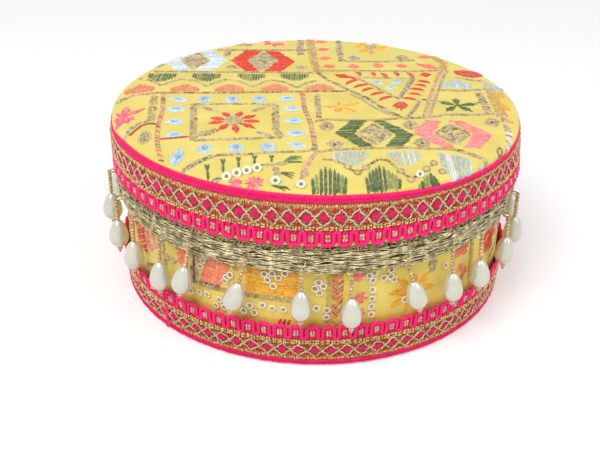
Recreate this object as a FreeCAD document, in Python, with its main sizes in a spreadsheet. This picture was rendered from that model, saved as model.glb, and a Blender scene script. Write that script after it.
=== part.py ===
"""Round cloth-covered sweet box with a lift-off lid, lace trims and a fringe of pearl drops.

Millimetres, +Z up, origin at the middle of the underside.  The front of the box faces -Y.
"""
import FreeCAD
import Part
import Sketcher
import math
import os

# Driving dimensions: alias, size in millimetres, what it sets.
SIZES = (
    ("inner_radius", 81.5, "clear radius inside the base, lining to axis"),
    ("base_height", 72.3, "underside of the box to the cloth on the base's rim"),
    ("card_thickness", 1.8, "rolled card of both walls"),
    ("board_thickness", 2.5, "pressed board of the floor and of the lid's top"),
    ("fabric_thickness", 0.5, "embroidered cloth"),
    ("lining_thickness", 0.3, "satin lining"),
    ("sole_thickness", 0.4, "paper disc under the floor"),
    ("glue_line", 0.1, "glue between laminated layers"),
    ("lid_fit_gap", 0.8, "radial play between the base's cloth and the lid's lining"),
    ("lid_skirt_depth", 16.1, "card rim of the lid, below its board"),
    ("padding_thickness", 2.0, "wadding under the lid's cloth, at the edge"),
    ("crown_rise", 0.5, "how much higher the lid's middle is than its edge"),
    ("edge_round", 2.0, "rounding of the cloth over the lid's edge"),
    ("lace_thickness", 1.1, "woven lace, wall to face"),
    ("lace_drop", 0.5, "lid's top edge down to the upper edge of its lace"),
    ("piping_height", 3.5, "plaited double cord along the lid lace's edge"),
    ("piping_thickness", 1.1, "plaited cord, wall to crest"),
    ("band_height", 10.8, "gilt lattice band of the lid's lace"),
    ("base_band_height", 10.2, "gilt lattice band of the base's lace"),
    ("ridge_height", 1.6, "raised gilt line along each side of the band"),
    ("ridge_rise", 0.4, "how far that line stands above the lattice"),
    ("scallop_height", 7.35, "scalloped edge of the lace, root to tip"),
    ("scallop_pitch", 6.2, "one scallop to the next"),
    ("scallop_flat", 0.5, "flat at a scallop's tip"),
    ("notch_depth", 1.3, "notch between two scallops"),
    ("base_lace_lift", 0.2, "floor up to the cord of the base's lace"),
    ("base_piping_height", 2.2, "cord of the base's lace, pressed flatter than the lid's"),
    ("braid_gap", 2.15, "lid lace's lowest point down to the braid"),
    ("braid_height", 9.2, "metallic braid"),
    ("braid_thickness", 3.8, "metallic braid, wall to its fullest strand"),
    ("braid_puff", 0.8, "how far the braid's middle stands out past its edges"),
    ("braid_seat", 2.5, "braid's lower edge up to the row of thread bars"),
    ("bar_radius", 0.35, "sewn thread bar that a drop hangs on"),
    ("bar_leg_radius", 0.3, "legs of that bar"),
    ("bar_span", 2.6, "between the two legs of a bar"),
    ("bar_end", 0.4, "bar past the middle of each leg"),
    ("bar_bite", 1.2, "how deep a bar's legs are sewn into the braid"),
    ("eye_clearance", 0.07, "play between a bar and the eye on it"),
    ("eye_wall", 0.48, "wound thread round a drop's eye"),
    ("eye_length", 1.4, "wound eye along its bar"),
    ("thread_radius", 0.35, "stringing thread"),
    ("bead_clearance", 0.08, "play between thread and bead bores"),
    ("bead_gap", 0.05, "between beads along the thread"),
    ("seed_radius", 0.95, "seed beads of the stem"),
    ("seed_height", 1.55, "seed beads of the stem"),
    ("seed_end_radius", 0.62, "flat end of a seed bead"),
    ("pearl_radius", 4.25, "pearl at its widest"),
    ("pearl_length", 13.2, "pearl, end to end"),
    ("pearl_belly", 4.7, "pearl's lower end up to its widest point"),
    ("pearl_end_radius", 1.0, "flat round the pearl's bore"),
    ("pearl_wall_gap", 1.2, "hanging pearl to the face of the base's lace"),
    ("stop_radius", 1.2, "round bead below the pearl"),
    ("stop_height", 2.0, "round bead below the pearl"),
    ("stop_end_radius", 0.7, "flat end of that bead"),
    ("knot_radius", 0.6, "knot that ends the thread"),
)

STRANDS = 6  # cords that show across the braid's face
CORDS = 2  # cords plaited side by side in the piping
CORD_FULLNESS = 0.55  # radius of a cord's face as a share of its width, 0.5 for a half circle
SEEDS = 6  # seed beads on each stem
DROPS = 28  # pearl drops round the box
FIRST_DROP_DEG = -90.5  # round from the front, positive to the right
# Hand-sewn: how far each drop is off its even place round the box, how far above the row, and how far it leans.
# The first line of each is the front half, left to right, and the second is the back.
SEWN_SHIFT_DEG = (
    *(-4, -0.5, -0.5, -1.5, -2.5, -5, -2.5, -2, -3, -2, -1.5, -3.5, -0.5, -0.5, 1.5),
    *(-1.5, -2, -3, -3.5, -4, -4, -2.5, -3, -1, -1, -2, -1.5, 0),
)
SEWN_RISE = (
    *(4, 4.5, 1.5, 0.5, -0.5, 2.5, 2, 2, -1.5, 1.5, 0, -0.5, -1, -1, -1.5),
    *(0.5, 0, 1, 1.5, 0, -0.5, 1, -1, 1, 0, 0.5, -0.5, 1),
)
LEAN_DEG = (
    *(0, -2, -3, -4, -2.5, -14, -16, 0, 1.5, 16, 5.5, 4.5, 2, 0, 0),
    *(-2, -3, -4, -2.5, -10, -12, 0, 1.5, 12, 5.5, 4.5, 2, 0),
)

# Which side of the way from one corner to the next an arc bulges to.
RIGHT = 1
LEFT = -1

# Radii, from the inside of the base out to the face of the lid's lace.
BASE_LINING_IN = "Sizes.inner_radius"
BASE_LINING_OUT = f"{BASE_LINING_IN} + Sizes.lining_thickness"
BASE_CARD_IN = f"{BASE_LINING_OUT} + Sizes.glue_line"
BASE_CARD_OUT = f"{BASE_CARD_IN} + Sizes.card_thickness"
BASE_CLOTH_IN = f"{BASE_CARD_OUT} + Sizes.glue_line"
BASE_CLOTH_OUT = f"{BASE_CLOTH_IN} + Sizes.fabric_thickness"
BASE_TRIM_IN = f"{BASE_CLOTH_OUT} + Sizes.glue_line"
BASE_LACE_OUT = f"{BASE_TRIM_IN} + Sizes.lace_thickness"
BRAID_EDGE = f"{BASE_TRIM_IN} + Sizes.braid_thickness - Sizes.braid_puff"
DROP_RING = f"{BASE_LACE_OUT} + Sizes.pearl_wall_gap + Sizes.pearl_radius"
LID_LINING_IN = f"{BASE_CLOTH_OUT} + Sizes.lid_fit_gap"
LID_LINING_OUT = f"{LID_LINING_IN} + Sizes.lining_thickness"
LID_CARD_IN = f"{LID_LINING_OUT} + Sizes.glue_line"
LID_CARD_OUT = f"{LID_CARD_IN} + Sizes.card_thickness"
LID_CLOTH_IN = f"{LID_CARD_OUT} + Sizes.glue_line"
LID_CLOTH_OUT = f"{LID_CLOTH_IN} + Sizes.fabric_thickness"
LID_TRIM_IN = f"{LID_CLOTH_OUT} + Sizes.glue_line"
LID_LACE_OUT = f"{LID_TRIM_IN} + Sizes.lace_thickness"
LID_FLAT = f"{LID_CLOTH_OUT} - Sizes.edge_round"

# Heights of the base, from the paper sole up to the rim.
SOLE_TOP = "Sizes.sole_thickness"
FLOOR_LOW = f"{SOLE_TOP} + Sizes.glue_line"
FLOOR_TOP = f"{FLOOR_LOW} + Sizes.board_thickness"
FLOOR_LINING_LOW = f"{FLOOR_TOP} + Sizes.glue_line"
FLOOR_LINING_TOP = f"{FLOOR_LINING_LOW} + Sizes.lining_thickness"
WALL_LINING_LOW = f"{FLOOR_LINING_TOP} + Sizes.glue_line"
RIM_TOP = "Sizes.base_height"
RIM_FOLD_LOW = f"{RIM_TOP} - Sizes.fabric_thickness"
BASE_CARD_TOP = f"{RIM_FOLD_LOW} - Sizes.glue_line"

# Heights of the lid, whose ceiling rests on the base's rim.
CEILING_TOP = f"{RIM_TOP} + Sizes.lining_thickness"
LID_BOARD_LOW = f"{CEILING_TOP} + Sizes.glue_line"
LID_BOARD_TOP = f"{LID_BOARD_LOW} + Sizes.board_thickness"
PADDING_LOW = f"{LID_BOARD_TOP} + Sizes.glue_line"
PADDING_EDGE = f"{PADDING_LOW} + Sizes.padding_thickness"
LID_CLOTH_UNDER = f"{PADDING_EDGE} + Sizes.glue_line"
LID_CLOTH_TOP = f"{LID_CLOTH_UNDER} + Sizes.fabric_thickness"
LID_SIDE_TOP = f"{LID_CLOTH_TOP} - Sizes.edge_round"
SKIRT_LOW = f"{CEILING_TOP} - Sizes.lid_skirt_depth"
SKIRT_FOLD_TOP = f"{SKIRT_LOW} - Sizes.glue_line"
SKIRT_FOLD_LOW = f"{SKIRT_FOLD_TOP} - Sizes.fabric_thickness"

# Heights of the trims.
LID_PIPING_TOP = f"{LID_CLOTH_TOP} - Sizes.lace_drop"
LID_BAND_TOP = f"{LID_PIPING_TOP} - Sizes.piping_height"
LID_SCALLOP_TOP = f"{LID_BAND_TOP} - Sizes.band_height"
LID_SCALLOP_LOW = f"{LID_SCALLOP_TOP} - Sizes.scallop_height"
BRAID_TOP = f"{LID_SCALLOP_LOW} - Sizes.braid_gap"
BRAID_LOW = f"{BRAID_TOP} - Sizes.braid_height"
BAR_HEIGHT = f"{BRAID_LOW} + Sizes.braid_seat"
BASE_PIPING_LOW = "Sizes.base_lace_lift"
BASE_BAND_LOW = f"{BASE_PIPING_LOW} + Sizes.base_piping_height"
BASE_SCALLOP_LOW = f"{BASE_BAND_LOW} + Sizes.base_band_height"
BASE_SCALLOP_TOP = f"{BASE_SCALLOP_LOW} + Sizes.scallop_height"

# One drop, down from the bar that it hangs on.
EYE_BORE = "Sizes.bar_radius + Sizes.eye_clearance"
EYE_OUT = f"{EYE_BORE} + Sizes.eye_wall"
BEAD_BORE = "Sizes.thread_radius + Sizes.bead_clearance"
SEED_STEP = "(Sizes.seed_height + Sizes.bead_gap)"
PEARL_TOP = f"-({EYE_OUT} + Sizes.bead_gap + {SEEDS} * {SEED_STEP})"
PEARL_LOW = f"{PEARL_TOP} - Sizes.pearl_length"
STOP_LOW = f"{PEARL_LOW} - Sizes.bead_gap - Sizes.stop_height"
KNOT_MIDDLE = f"{STOP_LOW} - Sizes.knot_radius"

doc = FreeCAD.newDocument("sweet_box")
sheet = doc.addObject("Spreadsheet::Sheet", "Sizes")
for row, (alias, value, note) in enumerate(SIZES, 1):
    sheet.set(f"A{row}", alias)
    sheet.set(f"B{row}", str(value))
    sheet.set(f"C{row}", note)
    sheet.setAlias(f"B{row}", alias)
doc.recompute()


def number(expression):
    """What an expression over the sheet comes to."""
    return float(sheet.evalExpression(expression))


def origin_feature(body, role):
    """One of a body's own planes or axes."""
    return next(feature for feature in body.Origin.OriginFeatures if feature.Role == role)


def new_sketch(body, name, role):
    """An empty sketch on one of the body's own planes."""
    sketch = body.newObject("Sketcher::SketchObject", name)
    sketch.AttachmentSupport = [(origin_feature(body, role), "")]
    sketch.MapMode = "FlatFace"
    return sketch


def bind(sketch, expression, *constraint):
    """Adds a dimension to a sketch and ties it to the sheet."""
    index = sketch.addConstraint(Sketcher.Constraint(*constraint, number(expression)))
    name = f"size_{index}"
    sketch.renameConstraint(index, name)
    sketch.setExpression(f"Constraints.{name}", expression)


def pin_corner(sketch, geometry, point, x, y):
    """Ties a corner's distance along X and its height to the sheet."""
    for kind, axis, expression in (("DistanceX", -2, x), ("DistanceY", -1, y)):
        if expression == "0":
            sketch.addConstraint(Sketcher.Constraint("PointOnObject", geometry, point, axis))
        elif number(expression) < 0:
            bind(sketch, f"-({expression})", kind, geometry, point, -1, 1)
        else:
            bind(sketch, expression, kind, -1, 1, geometry, point)


def arc_between(start, end, radius, side):
    """The short arc from start to end that bulges to one side of the way there."""
    chord = end - start
    half = chord.Length / 2
    rise = radius - math.sqrt(max(radius**2 - half**2, 0))
    away = FreeCAD.Vector(chord.y, -chord.x, 0).normalize() * (side * rise)
    return Part.Arc(start, (start + end) * 0.5 + away, end)


def outline(sketch, corners):
    """A closed outline through corners of X, height and the arc to the next one: None, or radius and side."""
    points = [FreeCAD.Vector(number(x), number(y), 0) for x, y, _ in corners]
    first_ends = []
    for index, (_, _, arc) in enumerate(corners):
        start = points[index]
        end = points[(index + 1) % len(points)]
        edge = Part.LineSegment(start, end) if arc is None else arc_between(start, end, number(arc[0]), arc[1])
        sketch.addGeometry(edge)
        runs_on = (sketch.getPoint(index, 1) - start).Length < (sketch.getPoint(index, 2) - start).Length
        first_ends.append(1 if runs_on else 2)
    for index, (x, y, arc) in enumerate(corners):
        after = (index + 1) % len(corners)
        join = (index, 3 - first_ends[index], after, first_ends[after])
        sketch.addConstraint(Sketcher.Constraint("Coincident", *join))
        pin_corner(sketch, index, first_ends[index], x, y)
        if arc is not None:
            bind(sketch, arc[0], "Radius", index)


def turned(label, corners):
    """A piece turned about the Z axis from its half section."""
    body = doc.addObject("PartDesign::Body", label)
    sketch = new_sketch(body, f"{label}_section", "XZ_Plane")
    outline(sketch, corners)
    turn = body.newObject("PartDesign::Revolution", f"{label}_turn")
    turn.Profile = sketch
    turn.ReferenceAxis = (sketch, ["V_Axis"])
    turn.Angle = 360
    return body


def plate(label, radii, low, high):
    """A disc, or with two radii a ring, from one height to another."""
    body = doc.addObject("PartDesign::Body", label)
    sketch = new_sketch(body, f"{label}_outline", "XY_Plane")
    for index, radius in enumerate(radii):
        sketch.addGeometry(Part.Circle(FreeCAD.Vector(), FreeCAD.Vector(0, 0, 1), number(radius)))
        sketch.addConstraint(Sketcher.Constraint("Coincident", index, 3, -1, 1))
        bind(sketch, radius, "Radius", index)
    sketch.setExpression("AttachmentOffset.Base.z", low)
    pad = body.newObject("PartDesign::Pad", f"{label}_pad")
    pad.Profile = sketch
    pad.setExpression("Length", f"{high} - ({low})")
    return body


def bulge_radius(half_chord, rise):
    """Radius of an arc from half of its chord and its rise."""
    return f"(({half_chord}) ^ 2 + ({rise}) ^ 2) / (2 * ({rise}))"


# Lid: board on a card rim, wadding, cloth drawn over both, linings.
def lid_padding():
    """Wadding with a shallow crown and a rounded edge, one layer inside the cloth."""
    edge = f"{LID_CARD_OUT} - ({LID_FLAT})"
    return turned(
        "lid_padding",
        [
            ("0", PADDING_LOW, None),
            (LID_CARD_OUT, PADDING_LOW, None),
            (LID_CARD_OUT, f"{PADDING_EDGE} - ({edge})", (edge, RIGHT)),
            (LID_FLAT, PADDING_EDGE, (bulge_radius(LID_FLAT, "Sizes.crown_rise"), RIGHT)),
            ("0", f"{PADDING_EDGE} + Sizes.crown_rise", None),
        ],
    )


def lid_cover():
    """Embroidered cloth over the wadding, down the rim and turned in below it."""
    crown = bulge_radius(LID_FLAT, "Sizes.crown_rise")
    return turned(
        "lid_cover",
        [
            (LID_CARD_IN, SKIRT_FOLD_LOW, None),
            (LID_CLOTH_IN, SKIRT_FOLD_LOW, ("Sizes.fabric_thickness", RIGHT)),
            (LID_CLOTH_OUT, SKIRT_FOLD_TOP, None),
            (LID_CLOTH_OUT, LID_SIDE_TOP, ("Sizes.edge_round", RIGHT)),
            (LID_FLAT, LID_CLOTH_TOP, (crown, RIGHT)),
            ("0", f"{LID_CLOTH_TOP} + Sizes.crown_rise", None),
            ("0", f"{LID_CLOTH_UNDER} + Sizes.crown_rise", (crown, LEFT)),
            (LID_FLAT, LID_CLOTH_UNDER, ("Sizes.edge_round - Sizes.fabric_thickness", LEFT)),
            (LID_CLOTH_IN, LID_SIDE_TOP, None),
            (LID_CLOTH_IN, SKIRT_FOLD_TOP, None),
            (LID_CARD_IN, SKIRT_FOLD_TOP, None),
        ],
    )


def base_cover():
    """Embroidered cloth round the base's wall, folded in over its rim."""
    return turned(
        "base_cover",
        [
            (BASE_CLOTH_IN, FLOOR_LOW, None),
            (BASE_CLOTH_OUT, FLOOR_LOW, None),
            (BASE_CLOTH_OUT, RIM_FOLD_LOW, ("Sizes.fabric_thickness", RIGHT)),
            (BASE_CLOTH_IN, RIM_TOP, None),
            (BASE_CARD_IN, RIM_TOP, None),
            (BASE_CARD_IN, RIM_FOLD_LOW, None),
            (BASE_CLOTH_IN, RIM_FOLD_LOW, None),
        ],
    )


# Trims: plaited piping, lattice band and scallops of the lace, and the braid.
def corded_ring(label, inner, low, height, count, root):
    """A flat-backed ring whose face is cords; root gives the face's radius at a share of the height."""
    corners = [(inner, low, None)]
    for cord in range(count):
        rise = f"({root((cord + 1) / count)}) - ({root(cord / count)})"
        width = f"sqrt((({height}) / {count}) ^ 2 + ({rise}) ^ 2)"
        face = (f"{CORD_FULLNESS} * {width}", RIGHT)
        corners.append((root(cord / count), f"{low} + {height} * {cord / count}", face))
    corners.append((root(1), f"{low} + {height}", None))
    corners.append((inner, f"{low} + {height}", None))
    return turned(label, corners)


def cord_rise(height, count):
    """How far a cord's face stands out past its two edges."""
    share = CORD_FULLNESS - math.sqrt(CORD_FULLNESS**2 - 0.25)
    return f"{share} * {height} / {count}"


def lace_piping(label, inner, low, height):
    face = f"{inner} + Sizes.piping_thickness - {cord_rise(height, CORDS)}"
    return corded_ring(label, inner, low, height, CORDS, lambda share: face)


def lace_band(label, inner, low, high):
    """The lattice band, with a raised line along each side."""
    lattice = f"{inner} + Sizes.lace_thickness - Sizes.ridge_rise"
    ridge = (bulge_radius("Sizes.ridge_height / 2", "Sizes.ridge_rise"), RIGHT)
    return turned(
        label,
        [
            (inner, low, None),
            (lattice, low, ridge),
            (lattice, f"{low} + Sizes.ridge_height", None),
            (lattice, f"{high} - Sizes.ridge_height", ridge),
            (lattice, high, None),
            (inner, high, None),
        ],
    )


def lace_scallops(label, inner, outer, root, tip):
    """A ring whose edge at the tips is cut into scallops by a notch repeated round it."""
    down = 1 if number(tip) < number(root) else -1
    low, high = (tip, root) if down == 1 else (root, tip)
    body = plate(label, [outer, inner], low, high)
    half = "(Sizes.scallop_pitch - Sizes.scallop_flat) / 2"
    lobe = (bulge_radius(half, "Sizes.notch_depth"), LEFT)
    right = f"{down} * {half}"
    left = f"{-down} * {half}"
    past_tip = f"{tip} - {down} * Sizes.notch_depth"
    sketch = new_sketch(body, f"{label}_notch", "XZ_Plane")
    sketch.setExpression("AttachmentOffset.Base.z", f"{inner} - Sizes.lace_thickness")
    outline(
        sketch,
        [
            (left, past_tip, None),
            (right, past_tip, None),
            (right, tip, lobe),
            ("0", f"{tip} + {down} * Sizes.notch_depth", lobe),
            (left, tip, None),
        ],
    )
    notch = body.newObject("PartDesign::Pocket", f"{label}_cut")
    notch.Profile = sketch
    notch.Reversed = True
    notch.setExpression("Length", "3 * Sizes.lace_thickness")
    pattern = body.newObject("PartDesign::PolarPattern", f"{label}_round")
    pattern.Originals = [notch]
    pattern.Axis = (origin_feature(body, "Z_Axis"), [""])
    pattern.Angle = 360
    pattern.setExpression("Occurrences", f"round(2 * pi * ({outer}) / Sizes.scallop_pitch)")
    body.Tip = pattern
    return body


def zari_braid():
    """A puffed braid of cords, fullest in its middle."""
    edge = f"{BRAID_EDGE} - {cord_rise('Sizes.braid_height', STRANDS)}"

    def face(share):
        return f"{edge} + Sizes.braid_puff * {1 - (2 * share - 1) ** 2}"

    return corded_ring("zari_braid", BASE_TRIM_IN, BRAID_LOW, "Sizes.braid_height", STRANDS, face)


# Drops: pieces of one drop about its hanging point, then the set round the box.
def bead(label, radius, end_radius, height):
    """A round bead with flat ends and a bore."""
    face = (bulge_radius(f"{height} / 2", f"{radius} - {end_radius}"), RIGHT)
    return turned(
        label,
        [
            (BEAD_BORE, "0", None),
            (end_radius, "0", face),
            (end_radius, height, None),
            (BEAD_BORE, height, None),
        ],
    )


def pearl():
    """A bored pearl, egg-shaped, its fuller end down."""
    swell = "Sizes.pearl_radius - Sizes.pearl_end_radius"
    above = "Sizes.pearl_length - Sizes.pearl_belly"
    return turned(
        "pearl",
        [
            (BEAD_BORE, "0", None),
            ("Sizes.pearl_end_radius", "0", (bulge_radius("Sizes.pearl_belly", swell), RIGHT)),
            ("Sizes.pearl_radius", "Sizes.pearl_belly", (bulge_radius(above, swell), RIGHT)),
            ("Sizes.pearl_end_radius", "Sizes.pearl_length", None),
            (BEAD_BORE, "Sizes.pearl_length", None),
        ],
    )


def cylinder(name, radius, length, axis, **base):
    """A round bar along X, Y or Z, from a base whose x, y and z are tied to the sheet."""
    bar = doc.addObject("Part::Cylinder", name)
    bar.setExpression("Radius", radius)
    bar.setExpression("Height", length)
    bar.Placement.Rotation = FreeCAD.Rotation(FreeCAD.Vector(0, 0, 1), axis)
    for letter, expression in base.items():
        bar.setExpression(f"Placement.Base.{letter}", expression)
    return bar


def drop_thread():
    """Stringing thread: a wound eye along X, the strand down through the beads and the knot that ends it."""
    along_x = FreeCAD.Vector(1, 0, 0)
    half_eye = "-Sizes.eye_length / 2"
    eye = cylinder("thread_eye", EYE_OUT, "Sizes.eye_length", along_x, x=half_eye)
    strand = cylinder("thread_strand", "Sizes.thread_radius", f"-({KNOT_MIDDLE})", FreeCAD.Vector(0, 0, -1))
    knot = doc.addObject("Part::Sphere", "thread_knot")
    knot.setExpression("Radius", "Sizes.knot_radius")
    knot.setExpression("Placement.Base.z", KNOT_MIDDLE)
    whole = doc.addObject("Part::MultiFuse", "thread_whole")
    whole.Shapes = [eye, strand, knot]
    bore = cylinder("thread_bore", EYE_BORE, "2 * Sizes.eye_length", along_x, x="-Sizes.eye_length")
    thread = doc.addObject("Part::Cut", "drop_thread")
    thread.Base = whole
    thread.Tool = bore
    return thread


def drop_hanger():
    """A sewn bar along X on two legs that go back into the braid, along Y."""
    along_x = FreeCAD.Vector(1, 0, 0)
    along_y = FreeCAD.Vector(0, 1, 0)
    half = "Sizes.bar_span / 2 + Sizes.bar_end"
    leg_length = f"{DROP_RING} - ({BRAID_EDGE}) + Sizes.bar_bite"
    bar = cylinder("hanger_bar", "Sizes.bar_radius", f"2 * ({half})", along_x, x=f"-({half})")
    left = cylinder("hanger_left", "Sizes.bar_leg_radius", leg_length, along_y, x="-Sizes.bar_span / 2")
    right = cylinder("hanger_right", "Sizes.bar_leg_radius", leg_length, along_y, x="Sizes.bar_span / 2")
    hanger = doc.addObject("Part::MultiFuse", "hanger")
    hanger.Shapes = [bar, left, right]
    return hanger


def drop_place(index):
    """Where a drop hangs: round the box, out at the drops' ring, leaning about the way outwards."""
    turn = FIRST_DROP_DEG + index * 360 / DROPS + SEWN_SHIFT_DEG[index]
    about_z = FreeCAD.Placement(FreeCAD.Vector(), FreeCAD.Rotation(FreeCAD.Vector(0, 0, 1), turn))
    lean = FreeCAD.Rotation(FreeCAD.Vector(0, 1, 0), -LEAN_DEG[index])
    height = number(BAR_HEIGHT) + SEWN_RISE[index]
    return about_z * FreeCAD.Placement(FreeCAD.Vector(0, -number(DROP_RING), height), lean)


def at_height(piece, height):
    """A copy of a piece's shape, raised."""
    shape = piece.Shape.copy()
    shape.translate(FreeCAD.Vector(0, 0, height))
    return shape


def pearl_drops():
    """The drops round the box, each strung on its own thread, and the bars that they hang on."""
    thread = drop_thread()
    seed = bead("seed_bead", "Sizes.seed_radius", "Sizes.seed_end_radius", "Sizes.seed_height")
    drop_pearl = pearl()
    stop = bead("stop_bead", "Sizes.stop_radius", "Sizes.stop_end_radius", "Sizes.stop_height")
    hanger = drop_hanger()
    doc.recompute()
    strung = [at_height(seed, number(f"{PEARL_TOP} + {k} * {SEED_STEP} + Sizes.bead_gap")) for k in range(SEEDS)]
    strung.append(at_height(drop_pearl, number(PEARL_LOW)))
    strung.append(at_height(stop, number(STOP_LOW)))
    drops = []
    bars = []
    for index in range(DROPS):
        drop = doc.addObject("Part::Feature", f"pearl_drop_{index + 1:02d}")
        drop.Shape = Part.Compound([thread.Shape, *strung])
        drop.Placement = drop_place(index)
        drops.append(drop)
        bars.append(hanger.Shape.transformed(drop_place(index).toMatrix(), True))
    hangers = doc.addObject("Part::Feature", "drop_hangers")
    hangers.Shape = Part.Compound(bars)
    return [hangers, *drops]


PIECES = [
    plate("lid_board", [LID_CARD_OUT], LID_BOARD_LOW, LID_BOARD_TOP),
    plate("lid_rim", [LID_CARD_OUT, LID_CARD_IN], SKIRT_LOW, CEILING_TOP),
    lid_padding(),
    lid_cover(),
    plate("lid_ceiling_lining", [LID_LINING_OUT], RIM_TOP, CEILING_TOP),
    plate("lid_wall_lining", [LID_LINING_OUT, LID_LINING_IN], SKIRT_FOLD_TOP, f"{RIM_TOP} - Sizes.glue_line"),
    lace_piping("lid_lace_piping", LID_TRIM_IN, LID_BAND_TOP, "Sizes.piping_height"),
    lace_band("lid_lace_band", LID_TRIM_IN, LID_SCALLOP_TOP, LID_BAND_TOP),
    lace_scallops("lid_lace_scallops", LID_TRIM_IN, LID_LACE_OUT, LID_SCALLOP_TOP, LID_SCALLOP_LOW),
    plate("base_sole", [BASE_CARD_OUT], "0", SOLE_TOP),
    plate("base_floor", [BASE_LINING_OUT], FLOOR_LOW, FLOOR_TOP),
    plate("base_wall", [BASE_CARD_OUT, BASE_CARD_IN], FLOOR_LOW, BASE_CARD_TOP),
    base_cover(),
    plate("base_floor_lining", [BASE_LINING_OUT], FLOOR_LINING_LOW, FLOOR_LINING_TOP),
    plate("base_wall_lining", [BASE_LINING_OUT, BASE_LINING_IN], WALL_LINING_LOW, RIM_FOLD_LOW),
    lace_piping("base_lace_piping", BASE_TRIM_IN, BASE_PIPING_LOW, "Sizes.base_piping_height"),
    lace_band("base_lace_band", BASE_TRIM_IN, BASE_BAND_LOW, BASE_SCALLOP_LOW),
    lace_scallops("base_lace_scallops", BASE_TRIM_IN, BASE_LACE_OUT, BASE_SCALLOP_LOW, BASE_SCALLOP_TOP),
    zari_braid(),
    *pearl_drops(),
]
doc.recompute()

for item in doc.Objects:
    if {"Invalid", "Error"} & set(item.State):
        raise RuntimeError(f"{item.Label} failed: {item.State}")
for piece in PIECES:
    if piece.Shape.isNull() or not piece.Shape.isValid():
        raise RuntimeError(f"{piece.Label} has no valid shape")

os.makedirs("parts", exist_ok=True)
for piece in PIECES:
    piece.Shape.exportStep(f"parts/{piece.Label}.step")
    print(f"{piece.Label}: {len(piece.Shape.Solids)} solids, {piece.Shape.Volume:.1f} mm3")
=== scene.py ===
# %% [markdown]
# # A round cloth-covered box for sweets
# The box is card covered in yellow embroidered cloth. A lift-off lid, two bands of pink and gilt lace, a
# puffed metallic braid and a fringe of pearl drops dress it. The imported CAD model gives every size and
# place, so this lesson only adds what a solid cannot show: threads, weave, beads and lustre.

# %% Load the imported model
import math
import random

import bmesh
import bpy
from mathutils import Matrix, Vector, noise


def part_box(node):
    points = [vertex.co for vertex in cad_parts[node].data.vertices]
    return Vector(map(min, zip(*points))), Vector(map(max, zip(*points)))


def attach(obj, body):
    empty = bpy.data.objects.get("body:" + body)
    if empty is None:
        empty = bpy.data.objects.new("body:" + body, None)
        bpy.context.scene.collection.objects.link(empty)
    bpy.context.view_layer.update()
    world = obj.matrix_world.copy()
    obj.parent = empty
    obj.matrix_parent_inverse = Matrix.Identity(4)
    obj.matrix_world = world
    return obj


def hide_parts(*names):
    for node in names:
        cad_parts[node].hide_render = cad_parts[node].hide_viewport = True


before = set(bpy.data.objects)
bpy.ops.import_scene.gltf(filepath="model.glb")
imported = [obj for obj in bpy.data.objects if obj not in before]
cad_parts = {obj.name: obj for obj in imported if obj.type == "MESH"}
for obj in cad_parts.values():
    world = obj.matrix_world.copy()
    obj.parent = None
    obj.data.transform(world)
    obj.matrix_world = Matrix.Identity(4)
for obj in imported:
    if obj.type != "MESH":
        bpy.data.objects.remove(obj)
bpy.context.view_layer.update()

MM = 0.001


def linked(name, data):
    """A new object with its data, put in the scene."""
    made = bpy.data.objects.new(name, data)
    bpy.context.scene.collection.objects.link(made)
    return made


# %% [markdown]
# ## The camera
# The photograph looks down on the box from the front. Its rings were fitted as ellipses, which gives the
# camera's place, its three turns and its focal length. The turns are written out as axes, because a matrix
# of axes cannot be read in the wrong order, as three angles can.

# %% Place the camera
CAMERA_PLACE = (0, -0.3928, 0.23275)
CAMERA_YAW = -0.0155
CAMERA_PITCH = -0.5035
CAMERA_ROLL = 0.0128
LENS_MM = 57.44
SENSOR_MM = 36


def camera_axes(yaw, pitch, roll):
    """Right, up and backward axes of a camera that looks along +Y when all its turns are nought."""
    forward = Vector((math.sin(yaw) * math.cos(pitch), math.cos(yaw) * math.cos(pitch), math.sin(pitch)))
    level = Vector((math.cos(yaw), -math.sin(yaw), 0))
    upright = level.cross(forward)
    right = level * math.cos(roll) + upright * math.sin(roll)
    up = upright * math.cos(roll) - level * math.sin(roll)
    return right, up, -forward


camera = linked("camera", bpy.data.cameras.new("camera"))
camera.data.lens = LENS_MM
camera.data.sensor_width = SENSOR_MM
turned = Matrix(camera_axes(CAMERA_YAW, CAMERA_PITCH, CAMERA_ROLL)).transposed().to_4x4()
camera.matrix_world = Matrix.Translation(CAMERA_PLACE) @ turned
bpy.context.scene.camera = camera
bpy.context.scene.view_settings.view_transform = "Standard"
print("camera at", CAMERA_PLACE)


# %% [markdown]
# ## Building node trees
# Every material and every Geometry Nodes tree below is wired by a few small helpers. The first adds a node,
# sets its properties, and then either links a socket or sets its value, so that a tree reads from top to
# bottom. Two more do sums and mix colours, and hand back the socket of the result.

# %% Helpers that add nodes
def add(tree, kind, inputs=None, **settings):
    """Add a node; each input is a socket to link from, or a plain value."""
    made = tree.nodes.new(kind)
    for name, value in settings.items():
        setattr(made, name, value)
    for key, value in (inputs or {}).items():
        if isinstance(value, bpy.types.NodeSocket):
            tree.links.new(value, made.inputs[key])
        else:
            made.inputs[key].default_value = value
    return made


def calc(tree, operation, *terms, **settings):
    """One step of arithmetic on sockets or numbers."""
    return add(tree, "ShaderNodeMath", dict(enumerate(terms)), operation=operation, **settings).outputs[0]


def blend(tree, share, low, high, **settings):
    """Two colours mixed by a share."""
    return add(tree, "ShaderNodeMix", {0: share, 6: low, 7: high}, data_type="RGBA", **settings).outputs[2]


def dye(red, green, blue):
    """A colour as it is seen on a screen, 0 to 255, turned into the linear light that shaders mix."""
    parts = [part / 255 for part in (red, green, blue)]
    return tuple(p / 12.92 if p < 0.04045 else ((p + 0.055) / 1.055) ** 2.4 for p in parts) + (1,)


print("a mid grey is", round(dye(128, 128, 128)[0], 3), "in linear light")


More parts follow.
